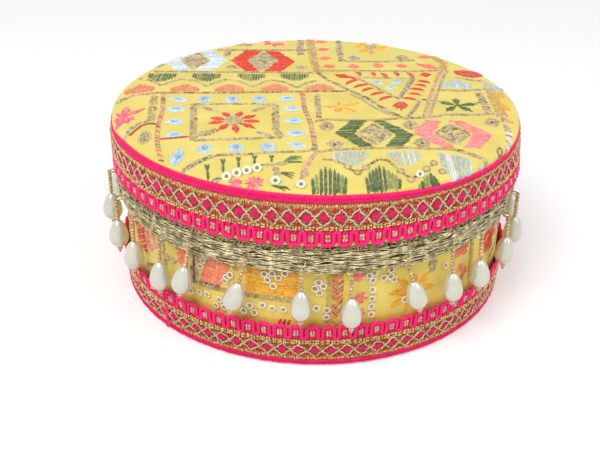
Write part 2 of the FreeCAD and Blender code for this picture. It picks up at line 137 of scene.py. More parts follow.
# %% [markdown]
# ## Floor and light
# A plain pale floor fills the picture. A large lamp above and to the left of the camera gives the soft
# gleam on the pearls, and a weaker one fills the right. Rays from the camera and reflections see a white
# surround, while the light that falls on the box stays at a plain level.

# %% Lay the floor and hang the lamps
BOX_MIDDLE = Vector((0, 0, 0.04))
FLOOR_DROP = -0.0003
FLOOR_HALF = 3.0
FLOOR_GLOW = 0.25
AROUND_LIGHT = 0.5
WHITE = (1, 1, 1, 1)


def lamp(name, place, watts, size):
    """A square lamp that faces the middle of the box."""
    made = linked(name, bpy.data.lights.new(name, "AREA"))
    made.data.energy = watts
    made.data.size = size
    made.location = place
    made.rotation_euler = (BOX_MIDDLE - Vector(place)).to_track_quat("-Z", "Y").to_euler()


def seen_rays(tree):
    """One where the ray comes from the camera or a reflection, else nought."""
    path = add(tree, "ShaderNodeLightPath").outputs
    shiny = calc(tree, "MAXIMUM", path["Is Glossy Ray"], path["Is Transmission Ray"])
    return calc(tree, "MAXIMUM", path["Is Camera Ray"], shiny)


pale = bpy.data.materials.new("pale floor")
pale.use_nodes = True
pale_shader = pale.node_tree.nodes["Principled BSDF"]
for socket, value in (("Base Color", (0.86, 0.86, 0.86, 1)), ("Roughness", 0.9), ("Specular IOR Level", 0.1),
                      ("Emission Color", WHITE)):
    pale_shader.inputs[socket].default_value = value
glow = calc(pale.node_tree, "MULTIPLY", seen_rays(pale.node_tree), FLOOR_GLOW)
pale.node_tree.links.new(glow, pale_shader.inputs["Emission Strength"])
corners = [(x * FLOOR_HALF, y * FLOOR_HALF, FLOOR_DROP) for x, y in ((-1, -1), (1, -1), (1, 1), (-1, 1))]
floor = linked("floor", bpy.data.meshes.new("floor"))
floor.data.from_pydata(corners, [], [(0, 1, 2, 3)])
floor.data.materials.append(pale)

world = bpy.data.worlds.new("soft studio")
bpy.context.scene.world = world
world.use_nodes = True
surround = world.node_tree.nodes["Background"]
brightness = add(world.node_tree, "ShaderNodeMapRange",
                 {"Value": seen_rays(world.node_tree), "To Min": AROUND_LIGHT})
world.node_tree.links.new(brightness.outputs[0], surround.inputs["Strength"])
surround.inputs["Color"].default_value = WHITE
lamp("key lamp", (-0.35, -0.55, 0.95), watts=7.0, size=0.6)
lamp("fill lamp", (0.75, -0.35, 0.7), watts=2.5, size=0.7)
print("floor and two lamps are in place")


# %% [markdown]
# ## Shared finishes
# Thread, card, paper and bead colours are never even. One group, the mottle, mixes two near tones by noise
# and also puts out a height for bump; its tone leans the mix one way. A second group is a plain weave with
# thicker slub threads, read from a cloth's own map in millimetres. A third is the twist of a cord, read
# along and around it. A learner could paint these as pictures instead, but a picture has a fixed size and
# these do not.

# %% Build the three shader groups
COLOUR = "NodeSocketColor"
VALUE = "NodeSocketFloat"
VECTOR = "NodeSocketVector"
TONE_REACH = 0.7
WEAVE_DEPTH = 0.3


def node_group(kind, name, inputs, outputs):
    """An empty group of one kind, with its sockets, and its two end nodes."""
    tree = bpy.data.node_groups.new(name, kind)
    for socket, sort, value in inputs:
        made = tree.interface.new_socket(socket, in_out="INPUT", socket_type=sort)
        if value is not None:
            made.default_value = value
    for socket, sort in outputs:
        tree.interface.new_socket(socket, in_out="OUTPUT", socket_type=sort)
    return tree, tree.nodes.new("NodeGroupInput"), tree.nodes.new("NodeGroupOutput")


MOTTLE, start, end = node_group(
    "ShaderNodeTree", "Mottle",
    [("Vector", VECTOR, None), ("Scale", VALUE, 400.0), ("Low", COLOUR, None), ("High", COLOUR, None),
     ("Tone", VALUE, 0.5)],
    [("Colour", COLOUR), ("Height", VALUE)],
)
grain = add(MOTTLE, "ShaderNodeTexNoise",
            {"Vector": start.outputs["Vector"], "Scale": start.outputs["Scale"], "Detail": 3.0})
spread = add(MOTTLE, "ShaderNodeMapRange", {"Value": grain.outputs[0], "From Min": 0.32, "From Max": 0.68})
off_middle = calc(MOTTLE, "MULTIPLY_ADD", start.outputs["Tone"], TONE_REACH, -TONE_REACH / 2)
toned = calc(MOTTLE, "ADD", spread.outputs[0], off_middle, use_clamp=True)
mixed = blend(MOTTLE, toned, start.outputs["Low"], start.outputs["High"])
MOTTLE.links.new(mixed, end.inputs["Colour"])
MOTTLE.links.new(grain.outputs[0], end.inputs["Height"])

WEAVE, start, end = node_group(
    "ShaderNodeTree", "Plain weave",
    [("Vector", VECTOR, None), ("Pitch", VALUE, 0.5), ("Slub", VALUE, 0.5)],
    [("Height", VALUE), ("Tone", VALUE)],
)
turns = calc(WEAVE, "DIVIDE", 2 * math.pi, start.outputs["Pitch"])
phase = add(WEAVE, "ShaderNodeVectorMath", {0: start.outputs["Vector"], "Scale": turns}, operation="SCALE")
split = add(WEAVE, "ShaderNodeSeparateXYZ", {0: phase.outputs[0]})
over = calc(WEAVE, "MULTIPLY", calc(WEAVE, "SINE", split.outputs[0]), calc(WEAVE, "SINE", split.outputs[1]))
slubs = []
for stretch in ((0.12, 1.6, 1), (1.6, 0.12, 1)):
    drawn = add(WEAVE, "ShaderNodeVectorMath", {0: start.outputs["Vector"], 1: stretch}, operation="MULTIPLY")
    cloudy = add(WEAVE, "ShaderNodeTexNoise", {"Vector": drawn.outputs[0], "Scale": 1.0, "Detail": 2.0})
    slubs.append(cloudy.outputs[0])
slub = calc(WEAVE, "ADD", *slubs)
thick = calc(WEAVE, "MULTIPLY", slub, start.outputs["Slub"])
tone = add(WEAVE, "ShaderNodeMapRange", {"Value": slub, "From Min": 0.7, "From Max": 1.3})
WEAVE.links.new(calc(WEAVE, "MULTIPLY_ADD", over, WEAVE_DEPTH, thick), end.inputs["Height"])
WEAVE.links.new(tone.outputs[0], end.inputs["Tone"])

TWIST, start, end = node_group(
    "ShaderNodeTree", "Cord twist", [("Vector", VECTOR, None), ("Turns", VALUE, 1.0)], [("Height", VALUE)])
split = add(TWIST, "ShaderNodeSeparateXYZ", {0: start.outputs["Vector"]})
wound = calc(TWIST, "MULTIPLY_ADD", split.outputs[0], start.outputs["Turns"], split.outputs[1])
ridge = calc(TWIST, "SINE", calc(TWIST, "MULTIPLY", wound, 2 * math.pi))
TWIST.links.new(ridge, end.inputs["Height"])
print("groups:", MOTTLE.name, WEAVE.name, TWIST.name)


# %% [markdown]
# ## Materials
# Each finish is a Principled shader whose colour, roughness or bump changes over the surface by the groups
# above. What is the same all over, such as sheen on cloth or the metal of gilt thread, is set on the
# shader's own socket. Colours are written as a screen shows them, darker tone first.

# %% Ways to finish a surface
WEAVE_RISE = 0.0003
TWIST_RISE = 0.00015


def finish(name, low, high, scale, bump=0.2, depth=0.0001, rough=(0.4, 0.6), **sockets):
    """A mottled material on object coordinates, with roughness that follows the same noise."""
    material = bpy.data.materials.new(name)
    material.use_nodes = True
    tree = material.node_tree
    shader = tree.nodes["Principled BSDF"]
    place = add(tree, "ShaderNodeTexCoord")
    mottle = add(tree, "ShaderNodeGroup", node_tree=MOTTLE, name="mottle", inputs={
        "Vector": place.outputs["Object"], "Scale": scale, "Low": dye(*low), "High": dye(*high)})
    gloss = add(tree, "ShaderNodeMapRange",
                {"Value": mottle.outputs["Height"], "To Min": rough[0], "To Max": rough[1]})
    raised = add(tree, "ShaderNodeBump", name="raised", inputs={
        "Strength": bump, "Distance": depth, "Height": mottle.outputs["Height"]})
    tree.links.new(mottle.outputs["Colour"], shader.inputs["Base Color"])
    tree.links.new(gloss.outputs[0], shader.inputs["Roughness"])
    tree.links.new(raised.outputs[0], shader.inputs["Normal"])
    for socket, value in sockets.items():
        shader.inputs[socket.replace("_", " ")].default_value = value
    return material


def mapped(material, group, bump, rise, **inputs):
    """Raise a group's height, read from a piece's own map in millimetres, over a mottled material."""
    tree = material.node_tree
    own_map = add(tree, "ShaderNodeUVMap", uv_map="mm")
    pattern = add(tree, "ShaderNodeGroup", {"Vector": own_map.outputs[0], **inputs}, node_tree=group)
    threads = add(tree, "ShaderNodeBump", {
        "Strength": bump, "Distance": rise, "Height": pattern.outputs["Height"],
        "Normal": tree.nodes["raised"].outputs[0]})
    tree.links.new(threads.outputs[0], tree.nodes["Principled BSDF"].inputs["Normal"])
    return pattern


def woven(material, pitch, slub, bump, darker):
    """Lay a weave over a mottled material; its slub threads are darker."""
    weave = mapped(material, WEAVE, bump, WEAVE_RISE, Pitch=pitch, Slub=slub)
    tree = material.node_tree
    colour = tree.nodes["Principled BSDF"].inputs["Base Color"]
    shade = add(tree, "ShaderNodeMapRange", {"Value": weave.outputs["Tone"], "To Min": darker})
    toned = blend(tree, 1.0, colour.links[0].from_socket, shade.outputs[0], blend_type="MULTIPLY")
    tree.links.new(toned, colour)
    return material


def thread(name, low, high):
    """Embroidery floss: soft lustre, fine streaks of two tones, and a tone of its own for each stitch."""
    material = finish(name, low, high, 900, bump=0.25, rough=(0.35, 0.55), Sheen_Weight=0.25)
    tree = material.node_tree
    own_tone = add(tree, "ShaderNodeAttribute", attribute_name="tone")
    tree.links.new(own_tone.outputs["Fac"], tree.nodes["mottle"].inputs["Tone"])
    return material


def cloth(name, low, high):
    """The box's yellow cloth, a plain weave with slubs."""
    plain = finish(name, low, high, 60, rough=(0.7, 0.85), Sheen_Weight=0.2)
    return woven(plain, pitch=0.55, slub=0.5, bump=0.3, darker=0.95)


print("finishes: mottled, mapped, woven, floss and cloth")


# %% Mix the materials
LID_CLOTH = cloth("yellow cloth", (234, 212, 99), (245, 226, 121))
# Painted light: the base wears the lid's yellow cloth, tinted a little deeper and more orange for the pink
# reflected light and shade that fall on the wall.
BASE_CLOTH_PAINTED_LIGHT = cloth("golden cloth", (238, 212, 92), (250, 228, 116))
LINING = finish("satin lining", (232, 208, 122), (244, 224, 146), 80, rough=(0.3, 0.45), Sheen_Weight=0.3)
woven(LINING, pitch=0.4, slub=0.35, bump=0.2, darker=0.92)
WADDING = finish("wadding", (226, 224, 214), (246, 245, 238), 350, bump=0.6, depth=0.0006, rough=(0.85, 0.95))
CARD = finish("greyboard", (150, 140, 124), (176, 166, 148), 700, bump=0.3, rough=(0.8, 0.95))
PAPER = finish("sole paper", (206, 176, 96), (220, 192, 116), 500, bump=0.15, rough=(0.7, 0.85))
PINK = finish("pink cord", (242, 4, 98), (255, 26, 126), 600, rough=(0.5, 0.7))
mapped(PINK, TWIST, 0.25, TWIST_RISE, Turns=0.7)
LOZENGE = finish("magenta satin", (212, 4, 84), (250, 20, 112), 900, bump=0.3, rough=(0.5, 0.7))
CRIMSON = finish("crimson yarn", (188, 14, 48), (234, 40, 74), 900, bump=0.4, rough=(0.5, 0.7))
GILT = finish("gilt thread", (166, 122, 60), (255, 226, 158), 1500, bump=0.5, rough=(0.28, 0.5), Metallic=0.5)
CORD = finish("pale gilt cord", (162, 126, 90), (240, 218, 178), 1300, bump=0.6, rough=(0.3, 0.5),
              Metallic=0.4)
TAPE = finish("lace tape", (146, 24, 34), (226, 154, 86), 1700, bump=0.6, rough=(0.6, 0.8))
ZARI = finish("zari braid", (141, 124, 86), (250, 238, 194), 420, bump=0.5, rough=(0.24, 0.45), Metallic=0.6)
# Painted shade: the braid's core is dark brown, standing in for the shade in the gaps between the strands.
ZARI_PAINTED_SHADE = finish("braid core", (66, 52, 30), (104, 86, 52), 600, bump=0.5, rough=(0.5, 0.7), Metallic=0.3)
ZARI_LOOP = finish("braid loops", (120, 96, 60), (196, 170, 122), 500, bump=0.5, rough=(0.3, 0.5),
                   Metallic=0.4)
PEARL = finish("pearl", (196, 198, 178), (211, 209, 191), 160, bump=0.03, rough=(0.26, 0.36),
               Specular_IOR_Level=1.0, Coat_Weight=1.0, Coat_Roughness=0.1, Coat_IOR=2.2)
SEED = finish("seed bead", (178, 120, 68), (244, 206, 156), 900, bump=0.05, rough=(0.12, 0.25),
              Coat_Weight=0.6, Coat_Roughness=0.08)
STOP = finish("stop bead", (226, 178, 144), (244, 212, 186), 500, bump=0.05, rough=(0.12, 0.25))
SEWING = finish("sewing thread", (176, 146, 96), (216, 188, 136), 900, bump=0.3, rough=(0.5, 0.7))
SEQUIN = finish("cream sequin", (238, 228, 206), (255, 251, 240), 900, bump=0.05, rough=(0.15, 0.3),
                Coat_Weight=0.4, Coat_Roughness=0.1)
# Painted shade and painted reflection: towards its rim the pearl's colour turns darker and warmer, by the
# Layer Weight facing, standing in for the shading at its edges and the warm light from the yellow cloth.
PEARL_PAINTED_RIM_SHADE = (198, 184, 150)
pearly = PEARL.node_tree
shell = pearly.nodes["Principled BSDF"].inputs["Base Color"]
towards = add(pearly, "ShaderNodeLayerWeight", {"Blend": 0.32})
painted_rim_shade = blend(pearly, towards.outputs["Facing"], shell.links[0].from_socket, dye(*PEARL_PAINTED_RIM_SHADE))
pearly.links.new(painted_rim_shade, shell)
FLOSS_TONES = {
    "red": ((196, 36, 22), (250, 86, 50)),
    "coral": ((240, 112, 74), (255, 168, 120)),
    "orange": ((242, 156, 8), (255, 208, 58)),
    "pink": ((236, 72, 106), (255, 132, 146)),
    "salmon": ((238, 104, 92), (255, 156, 134)),
    "rose": ((240, 116, 128), (255, 172, 176)),
    "magenta": ((200, 26, 66), (240, 70, 110)),
    "blue": ((176, 204, 220), (222, 238, 246)),
    "azure": ((108, 162, 206), (176, 212, 236)),
    "steel": ((168, 188, 184), (220, 228, 218)),
    "white": ((226, 228, 224), (252, 252, 248)),
    "green": ((48, 70, 28), (104, 126, 58)),
    "olive": ((118, 128, 58), (172, 178, 98)),
    "khaki": ((156, 133, 90), (232, 214, 172)),
    "gold": ((192, 150, 72), (232, 198, 118)),
    "brown": ((96, 70, 40), (160, 122, 76)),
}
FLOSS = {colour: thread(f"{colour} floss", *tones) for colour, tones in FLOSS_TONES.items()}
print("materials:", len(bpy.data.materials))


# %% [markdown]
# ## Turning, sweeping and joining
# Most of the box is round, so a few small tools make its meshes. The lathe turns a profile and lays a map
# in millimetres on it, with the seam's map kept whole. The sweep runs an oval section along a flat path,
# and the lump is a small bead drawn flat. Each gives a part: its points, its faces and the map of each
# face.

# %% Mesh helpers
def lathe(profile, steps, closed=False, cap_map=False):
    """Turn (radius, height) points, in mm, with the outside on their right. Ends at nought are poles."""
    rings = []
    points = []
    for radius, high in profile:
        if radius == 0:
            rings.append([len(points)] * steps)
            points.append((0, 0, high))
            continue
        rings.append(list(range(len(points), len(points) + steps)))
        for step in range(steps):
            at = 2 * math.pi * step / steps
            points.append((radius * math.sin(at), -radius * math.cos(at), high))
    run = [0]
    for (r0, z0), (r1, z1) in zip(profile, profile[1:] + profile[:1]):
        run.append(run[-1] + math.hypot(r1 - r0, z1 - z0))
    widest = max(radius for radius, _ in profile)
    faces = []
    maps = []
    last = len(profile) if closed else len(profile) - 1
    for row in range(last):
        lower, upper = rings[row], rings[(row + 1) % len(profile)]
        for step in range(steps):
            after = (step + 1) % steps
            u0, u1 = (widest * 2 * math.pi * (step + more) / steps for more in (0, 1))
            corner = [(lower[step], (u0, run[row])), (lower[after], (u1, run[row])),
                      (upper[after], (u1, run[row + 1])), (upper[step], (u0, run[row + 1]))]
            kept = [c for i, c in enumerate(corner) if c[0] != corner[i - 1][0]]
            faces.append([c[0] for c in kept])
            maps.append([points[c[0]][:2] if cap_map else c[1] for c in kept])
    return points, faces, maps


def sweep(path, half_wide, half_thick, sides, closed=False):
    """Run an oval section along (along, across, out) points drawn flat; open ends are closed by a cap."""
    count = len(path)
    points, faces, maps = [], [], []
    run = 0.0
    runs = []
    for i, (a, b, out) in enumerate(path):
        before = path[i - 1] if i or closed else path[i]
        after = path[(i + 1) % count] if i + 1 < count or closed else path[i]
        way = math.hypot(after[0] - before[0], after[1] - before[1]) or 1
        normal = (-(after[1] - before[1]) / way, (after[0] - before[0]) / way)
        run += math.dist(path[i - 1], path[i]) if i else 0
        runs.append(run)
        for side in range(sides):
            at = 2 * math.pi * side / sides
            reach = half_wide * math.cos(at)
            points.append((a + normal[0] * reach, b + normal[1] * reach, out + half_thick * math.sin(at)))
    for i in range(count if closed else count - 1):
        j = (i + 1) % count
        ahead = runs[j] if j else run + math.dist(path[-1], path[0])
        for side in range(sides):
            more = (side + 1) % sides
            faces.append([i * sides + side, j * sides + side, j * sides + more, i * sides + more])
            v0, v1 = side / sides, (side + 1) / sides
            maps.append([(runs[i], v0), (ahead, v0), (ahead, v1), (runs[i], v1)])
    if not closed:
        faces.append(list(range(sides)))
        faces.append(list(range((count - 1) * sides, count * sides))[::-1])
        maps += [[(0, 0)] * sides, [(run, 0)] * sides]
    return points, faces, maps


def lump(a, b, out, half_a, half_b, half_out, tilt=0.0, sides=6, rings=3):
    """A small closed bead, drawn flat, with its long way turned by tilt."""
    turns = [math.pi * i / (rings + 1) for i in range(rings + 2)]
    profile = [(math.sin(turn), -math.cos(turn)) for turn in turns]
    profile[0], profile[-1] = (0, -1), (0, 1)
    points, faces, maps = lathe(profile, sides)
    cos, sin = math.cos(tilt), math.sin(tilt)
    placed = []
    for x, y, z in points:
        across, up = x * half_a, z * half_b
        placed.append((a + across * cos - up * sin, b + across * sin + up * cos, out - y * half_out))
    return placed, faces, maps


def joined(*parts):
    """Join parts made by these tools into one."""
    points, faces, maps = [], [], []
    for part in parts:
        start = len(points)
        points += part[0]
        faces += [[i + start for i in face] for face in part[1]]
        maps += part[2]
    return points, faces, maps


def piece(name, part, *materials, slots=None):
    """Make an object from a part in mm, smooth, with its map, at the origin."""
    points, faces, maps = part
    mesh = bpy.data.meshes.new(name)
    mesh.from_pydata([tuple(c * MM for c in point) for point in points], [], faces)
    layer = mesh.uv_layers.new(name="mm")
    layer.data.foreach_set("uv", [c for face in maps for pair in face for c in pair])
    mesh.polygons.foreach_set("use_smooth", [True] * len(faces))
    for material in materials:
        mesh.materials.append(material)
    if slots:
        mesh.polygons.foreach_set("material_index", slots)
    mesh.update()
    return linked(name, mesh)


def settle(made, body, slot, *nodes):
    """Let a piece ride on its body in place of the CAD nodes that it stands for; the slot is not used."""
    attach(made, body)
    for node in nodes:
        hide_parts(node)
    return made


print("a test lathe has", len(lathe([(0, 0), (1, 0), (0, 1)], 8)[1]), "faces")


# %% [markdown]
# ## The covered card
# Cloth is glued over the card and drawn tight over wadding on the lid, so it lies in one smooth skin with
# small puckers where the embroidery pulls it. Each cover is a thin closed shell, turned from its profile,
# and a noise moves its points by a fraction of a millimetre. The same height functions later carry every
# stitch.

# %% Heights of the two cloth surfaces
ROUND_STEPS = 180
LID_FLAT = 85.9
LID_EDGE_TOP = 77.9
LID_CROWN = 0.5
LID_CORNER = 2.0
LID_SIDE = 87.9
LID_CALM = 6
WALL_SIDE = 84.3
WALL_CALM = 0.6
CLOTH_THICK = 0.5
PUCKER = 0.16
PUCKER_GRAIN = 8
PUCKER_SLICE = 3.1
PUCKER_RING = 10


def lid_height(x, y):
    """Height of the lid's cloth above the table, in mm; it rolls over at the edge."""
    radius = math.hypot(x, y)
    if radius > LID_FLAT:
        return LID_EDGE_TOP - LID_CORNER + math.sqrt(max(0, LID_CORNER ** 2 - (radius - LID_FLAT) ** 2))
    calm = min(1, (LID_FLAT - radius) / LID_CALM)
    ripple = noise.noise((x / PUCKER_GRAIN, y / PUCKER_GRAIN, PUCKER_SLICE)) * PUCKER * calm
    return LID_EDGE_TOP + LID_CROWN * (1 - (radius / LID_FLAT) ** 2) + ripple


def wall_radius(turn, high):
    """Radius of the base's cloth at an angle from the front, in mm."""
    ripple = noise.noise((math.sin(turn) * PUCKER_RING, math.cos(turn) * PUCKER_RING, high / PUCKER_GRAIN))
    return WALL_SIDE + ripple * PUCKER * WALL_CALM


print("lid cloth is", round(lid_height(0, 0), 2), "mm high in the middle")


# %% Cut and stretch the covers
LID_HEM_LOW = 55.9
LID_HEM = 56.4
LID_TURN_IN = 85.5
LID_TOP_FROM = 77
LID_RINGS = 48
WALL_FOOT = 0.5
WALL_TALL = 71.0
WALL_ROWS = 24
RIM_UNDER = 71.8
RIM_TOP = 72.3
RIM_INSIDE = 81.9


def lid_cloth():
    """The lid's cover: its outer skin from the middle of the top down to the hem, and the inner skin back."""
    arc = [(LID_FLAT + LID_CORNER * math.sin(a), LID_EDGE_TOP - LID_CORNER * (1 - math.cos(a)))
           for a in (math.pi / 2 * i / 5 for i in range(6))]
    outer = [(0, LID_EDGE_TOP + LID_CROWN)]
    outer += [(LID_FLAT * i / LID_RINGS, LID_EDGE_TOP) for i in range(1, LID_RINGS)]
    outer += arc + [(LID_SIDE, z) for z in (70, 62, 57, LID_HEM_LOW)] + [(LID_TURN_IN, LID_HEM_LOW)]
    inside = LID_SIDE - CLOTH_THICK
    inner = [(LID_TURN_IN, LID_HEM), (inside, LID_HEM), (inside, 66)]
    inner += [(r - CLOTH_THICK * max(0, (r - LID_FLAT) / LID_CORNER), z - CLOTH_THICK) for r, z in arc[::-1]]
    inner += [(LID_FLAT * i / 6, LID_EDGE_TOP - CLOTH_THICK) for i in range(5, 0, -1)]
    inner += [(0, LID_EDGE_TOP + LID_CROWN - CLOTH_THICK)]
    points, faces, maps = lathe(outer + inner, ROUND_STEPS)
    for i, (x, y, z) in enumerate(points):
        if math.hypot(x, y) <= LID_FLAT + 0.01 and z > LID_TOP_FROM:
            sunk = CLOTH_THICK if z < LID_EDGE_TOP - 0.1 or i == len(points) - 1 else 0
            points[i] = (x, y, lid_height(x, y) - sunk)
    flat_map = []
    for face, own in zip(faces, maps):
        on_top = all(points[i][2] > LID_TOP_FROM for i in face)
        flat_map.append([points[i][:2] for i in face] if on_top else own)
    print("lid cloth:", len(faces), "faces")
    return points, faces, flat_map


lid_cover = settle(piece("lid_cloth", lid_cloth(), LID_CLOTH), "lid", "embroidered_cloth", "lid_cover")


def base_cloth():
    """The base's cover: up the outside, over the rim and back down inside its own thickness."""
    outer = [(WALL_SIDE, WALL_FOOT + WALL_TALL * i / WALL_ROWS) for i in range(WALL_ROWS + 1)]
    rim = [(WALL_SIDE - 0.05, 71.95), (WALL_SIDE - 0.25, 72.25), (WALL_SIDE - 0.6, RIM_TOP)]
    rim += [(RIM_INSIDE, RIM_TOP), (RIM_INSIDE, RIM_UNDER)]
    inner = [(WALL_SIDE - CLOTH_THICK, z) for z in (RIM_UNDER, 36, WALL_FOOT)]
    points, faces, maps = lathe(outer + rim + inner, ROUND_STEPS, closed=True)
    for i in range(len(outer) * ROUND_STEPS):
        x, y, z = points[i]
        turn = math.atan2(x, -y)
        radius = wall_radius(turn, z)
        points[i] = (radius * math.sin(turn), -radius * math.cos(turn), z)
    return points, faces, maps


base_cover = settle(piece("base_cloth", base_cloth(), BASE_CLOTH_PAINTED_LIGHT), "base", "embroidered_cloth", "base_cover")
print("base cloth:", len(base_cover.data.polygons), "faces")


# %% [markdown]
# ## Wadding and linings
# A thin pad lies under the lid's cloth, and satin lines the inside of both halves. The photograph shows
# none of them, so they are plain: a softly lumped disc, two smooth tubes and two discs, each a thin closed
# shell with a slight give in its surface.

# %% Make the wadding and the four linings
LINING_SEED = 9
LINING_STEPS = 144
DISC_RINGS = 20
WAD_CROWN = 0.35
WAD_TOP_FROM = 76.5


def uneven(part, amount, grain_mm):
    """Move each point of a part a little, by noise with a fixed seed."""
    noise.seed_set(LINING_SEED)
    points = []
    for point in part[0]:
        give = noise.noise_vector(Vector(point) / grain_mm)
        points.append(tuple(c + amount * n for c, n in zip(point, give)))
    return points, part[1], part[2]


def shell_tube(inside, outside, low, high, rows):
    """A closed thin tube, drawn with its outside first."""
    up = [(outside, low + (high - low) * i / rows) for i in range(rows + 1)]
    return lathe(up + [(inside, z) for _, z in up[::-1]], LINING_STEPS, closed=True)


def shell_disc(radius, low, high):
    """A closed thin disc: underside out from the pole, edge, then the top back to the pole."""
    out = [(radius * i / DISC_RINGS, low) for i in range(DISC_RINGS + 1)]
    return lathe(out + [(r, high) for r, _ in out[::-1]], LINING_STEPS, cap_map=True)


pad_low, pad_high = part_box("lid_padding")
wad = shell_disc(pad_high.x / MM - 0.1, pad_low.z / MM, pad_high.z / MM - 0.5)
for i, (x, y, z) in enumerate(wad[0]):
    if z > WAD_TOP_FROM:
        wad[0][i] = (x, y, z + WAD_CROWN * (1 - (math.hypot(x, y) / LID_FLAT) ** 2))
wadding = settle(piece("lid_wadding", uneven(wad, 0.05, 5), WADDING), "lid", "wadding", "lid_padding")

LININGS = {
    "base_wall_lining": ("base", shell_tube(81.5, 81.8, 3.5, 71.8, 20), (0.512, 0.0683), None, "base_wall"),
    "base_floor_lining": ("base", shell_disc(81.8, 3.1, 3.4), (0.1636, 0.1636), 0.0210, "base_floor"),
    "lid_ceiling_lining": ("lid", shell_disc(85.4, 72.3, 72.6), (0.1708, 0.1708), 0.0229, "lid_board"),
    "lid_wall_lining": ("lid", shell_tube(85.1, 85.4, 56.4, 72.2, 6), (0.535, 0.0158), None, "lid_rim"),
}
for node_name, (body, part, flat, area, under) in LININGS.items():
    lining = piece(node_name.replace("lining", "satin"), uneven(part, 0.02, 9), LINING)
    settle(lining, body, "satin_lining", node_name)
print("linings:", ", ".join(LININGS))


# %% [markdown]
# ## Geometry Nodes that go round the box
# Lace repeats about ninety times round the box. A short run is modelled flat, wrapped to its radius at the
# front, and a tree turns copies of it about the box's axis. The tree merges the ends of neighbours, so that
# the cords run on without a seam, and then moves every point a little by noise, because no two hand-worked
# knots are alike. An array modifier could repeat the run too, but it could not make it uneven.

# %% The tree that repeats a piece round the box
GEOMETRY = "NodeSocketGeometry"
INTEGER = "NodeSocketInt"
MATERIAL = "NodeSocketMaterial"
WELD = 0.00002


def geometry_tree(name, inputs):
    """An empty Geometry Nodes tree with a Geometry input and output and more named inputs."""
    inputs = [("Geometry", GEOMETRY, None), *inputs]
    return node_group("GeometryNodeTree", name, inputs, [("Geometry", GEOMETRY)])


def end_tree(tree, geometry, material, out):
    """Realize, smooth and colour what a tree made."""
    real = add(tree, "GeometryNodeRealizeInstances", {0: geometry})
    smooth = add(tree, "GeometryNodeSetShadeSmooth", {0: real.outputs[0]})
    dyed = add(tree, "GeometryNodeSetMaterial", {0: smooth.outputs[0], "Material": material})
    tree.links.new(dyed.outputs[0], out.inputs[0])


ROUND, start, end = geometry_tree("Round the box", [
    ("Count", INTEGER, 90), ("Jitter", VALUE, 0.0), ("Unevenness", VALUE, 0.0), ("Grain", VALUE, 800.0),
    ("Seed", INTEGER, 1), ("Material", MATERIAL, None)])
spots = add(ROUND, "GeometryNodePoints", {"Count": start.outputs["Count"]})
index = add(ROUND, "GeometryNodeInputIndex")
share = calc(ROUND, "DIVIDE", index.outputs[0], start.outputs["Count"])
low_jitter = calc(ROUND, "MULTIPLY", start.outputs["Jitter"], -1.0)
stray = add(ROUND, "FunctionNodeRandomValue", data_type="FLOAT", inputs={
    2: low_jitter, 3: start.outputs["Jitter"], "Seed": start.outputs["Seed"]})
turn_by = calc(ROUND, "MULTIPLY_ADD", share, 2 * math.pi, stray.outputs[1])
about_z = add(ROUND, "ShaderNodeCombineXYZ", {"Z": turn_by})
copies = add(ROUND, "GeometryNodeInstanceOnPoints", {
    "Points": spots.outputs[0], "Instance": start.outputs["Geometry"], "Rotation": about_z.outputs[0]})
real = add(ROUND, "GeometryNodeRealizeInstances", {0: copies.outputs[0]})
welded = add(ROUND, "GeometryNodeMergeByDistance", {0: real.outputs[0], "Distance": WELD})
place = add(ROUND, "GeometryNodeInputPosition")
lumpy = add(ROUND, "ShaderNodeTexNoise",
            {"Vector": place.outputs[0], "Scale": start.outputs["Grain"], "Detail": 1.0})
centred = add(ROUND, "ShaderNodeVectorMath", {0: lumpy.outputs["Color"], 1: (0.5, 0.5, 0.5)},
              operation="SUBTRACT")
pushed = add(ROUND, "ShaderNodeVectorMath", {0: centred.outputs[0], "Scale": start.outputs["Unevenness"]},
             operation="SCALE")
shifted = add(ROUND, "GeometryNodeSetPosition", {"Geometry": welded.outputs[0], "Offset": pushed.outputs[0]})
end_tree(ROUND, shifted.outputs[0], start.outputs["Material"], end)


def grown(made, tree, **inputs):
    """Run a tree on an object and keep the result as its plain mesh."""
    modifier = made.modifiers.new(tree.name, "NODES")
    modifier.node_group = tree
    for item in tree.interface.items_tree:
        key = item.name.replace(" ", "_")
        if item.item_type == "SOCKET" and item.in_out == "INPUT" and key in inputs:
            modifier[item.identifier] = inputs[key]
    graph = bpy.context.evaluated_depsgraph_get()
    result = made.evaluated_get(graph)
    mesh = bpy.data.meshes.new_from_object(result, preserve_all_data_layers=True, depsgraph=graph)
    made.modifiers.clear()
    mesh.name = made.name
    made.data = mesh
    print(made.name, "has", len(mesh.polygons), "faces")
    return made


# %% [markdown]
# ## The lace
# The lace is a narrow tape about 21 mm wide. From its bound edge it has a plaited pink piping, a row of
# gilt wraps, a pale gilt lattice with pink lozenges and crimson corners, a row of gilt knots, and a pink
# cord that runs up and down in blunt scallops with a gilt knot in each. The base wears the same lace upside
# down, and there it stands a little away from the wall at its scallops. Heights are counted from the bound
# edge, so one drawing serves both, and modelling lace flat and wrapping it is how lace is really sewn on.

# %% Draw a run of the lace, flat
PITCH = 6.2
PIPING_FOOT = 3.6
WRAP_FOOT = 5.8
LATTICE_FOOT = 13.0
KNOT_FOOT = 14.7
SCALLOP_TIP = 21.65
CORD_HALF = 0.8
SLIT_HALF = 0.24
BLUNT = 1.5
SQUARENESS = 0.75
PLAITS = 8
WRAPS = 9
KNOTS = 6
random.seed(23)


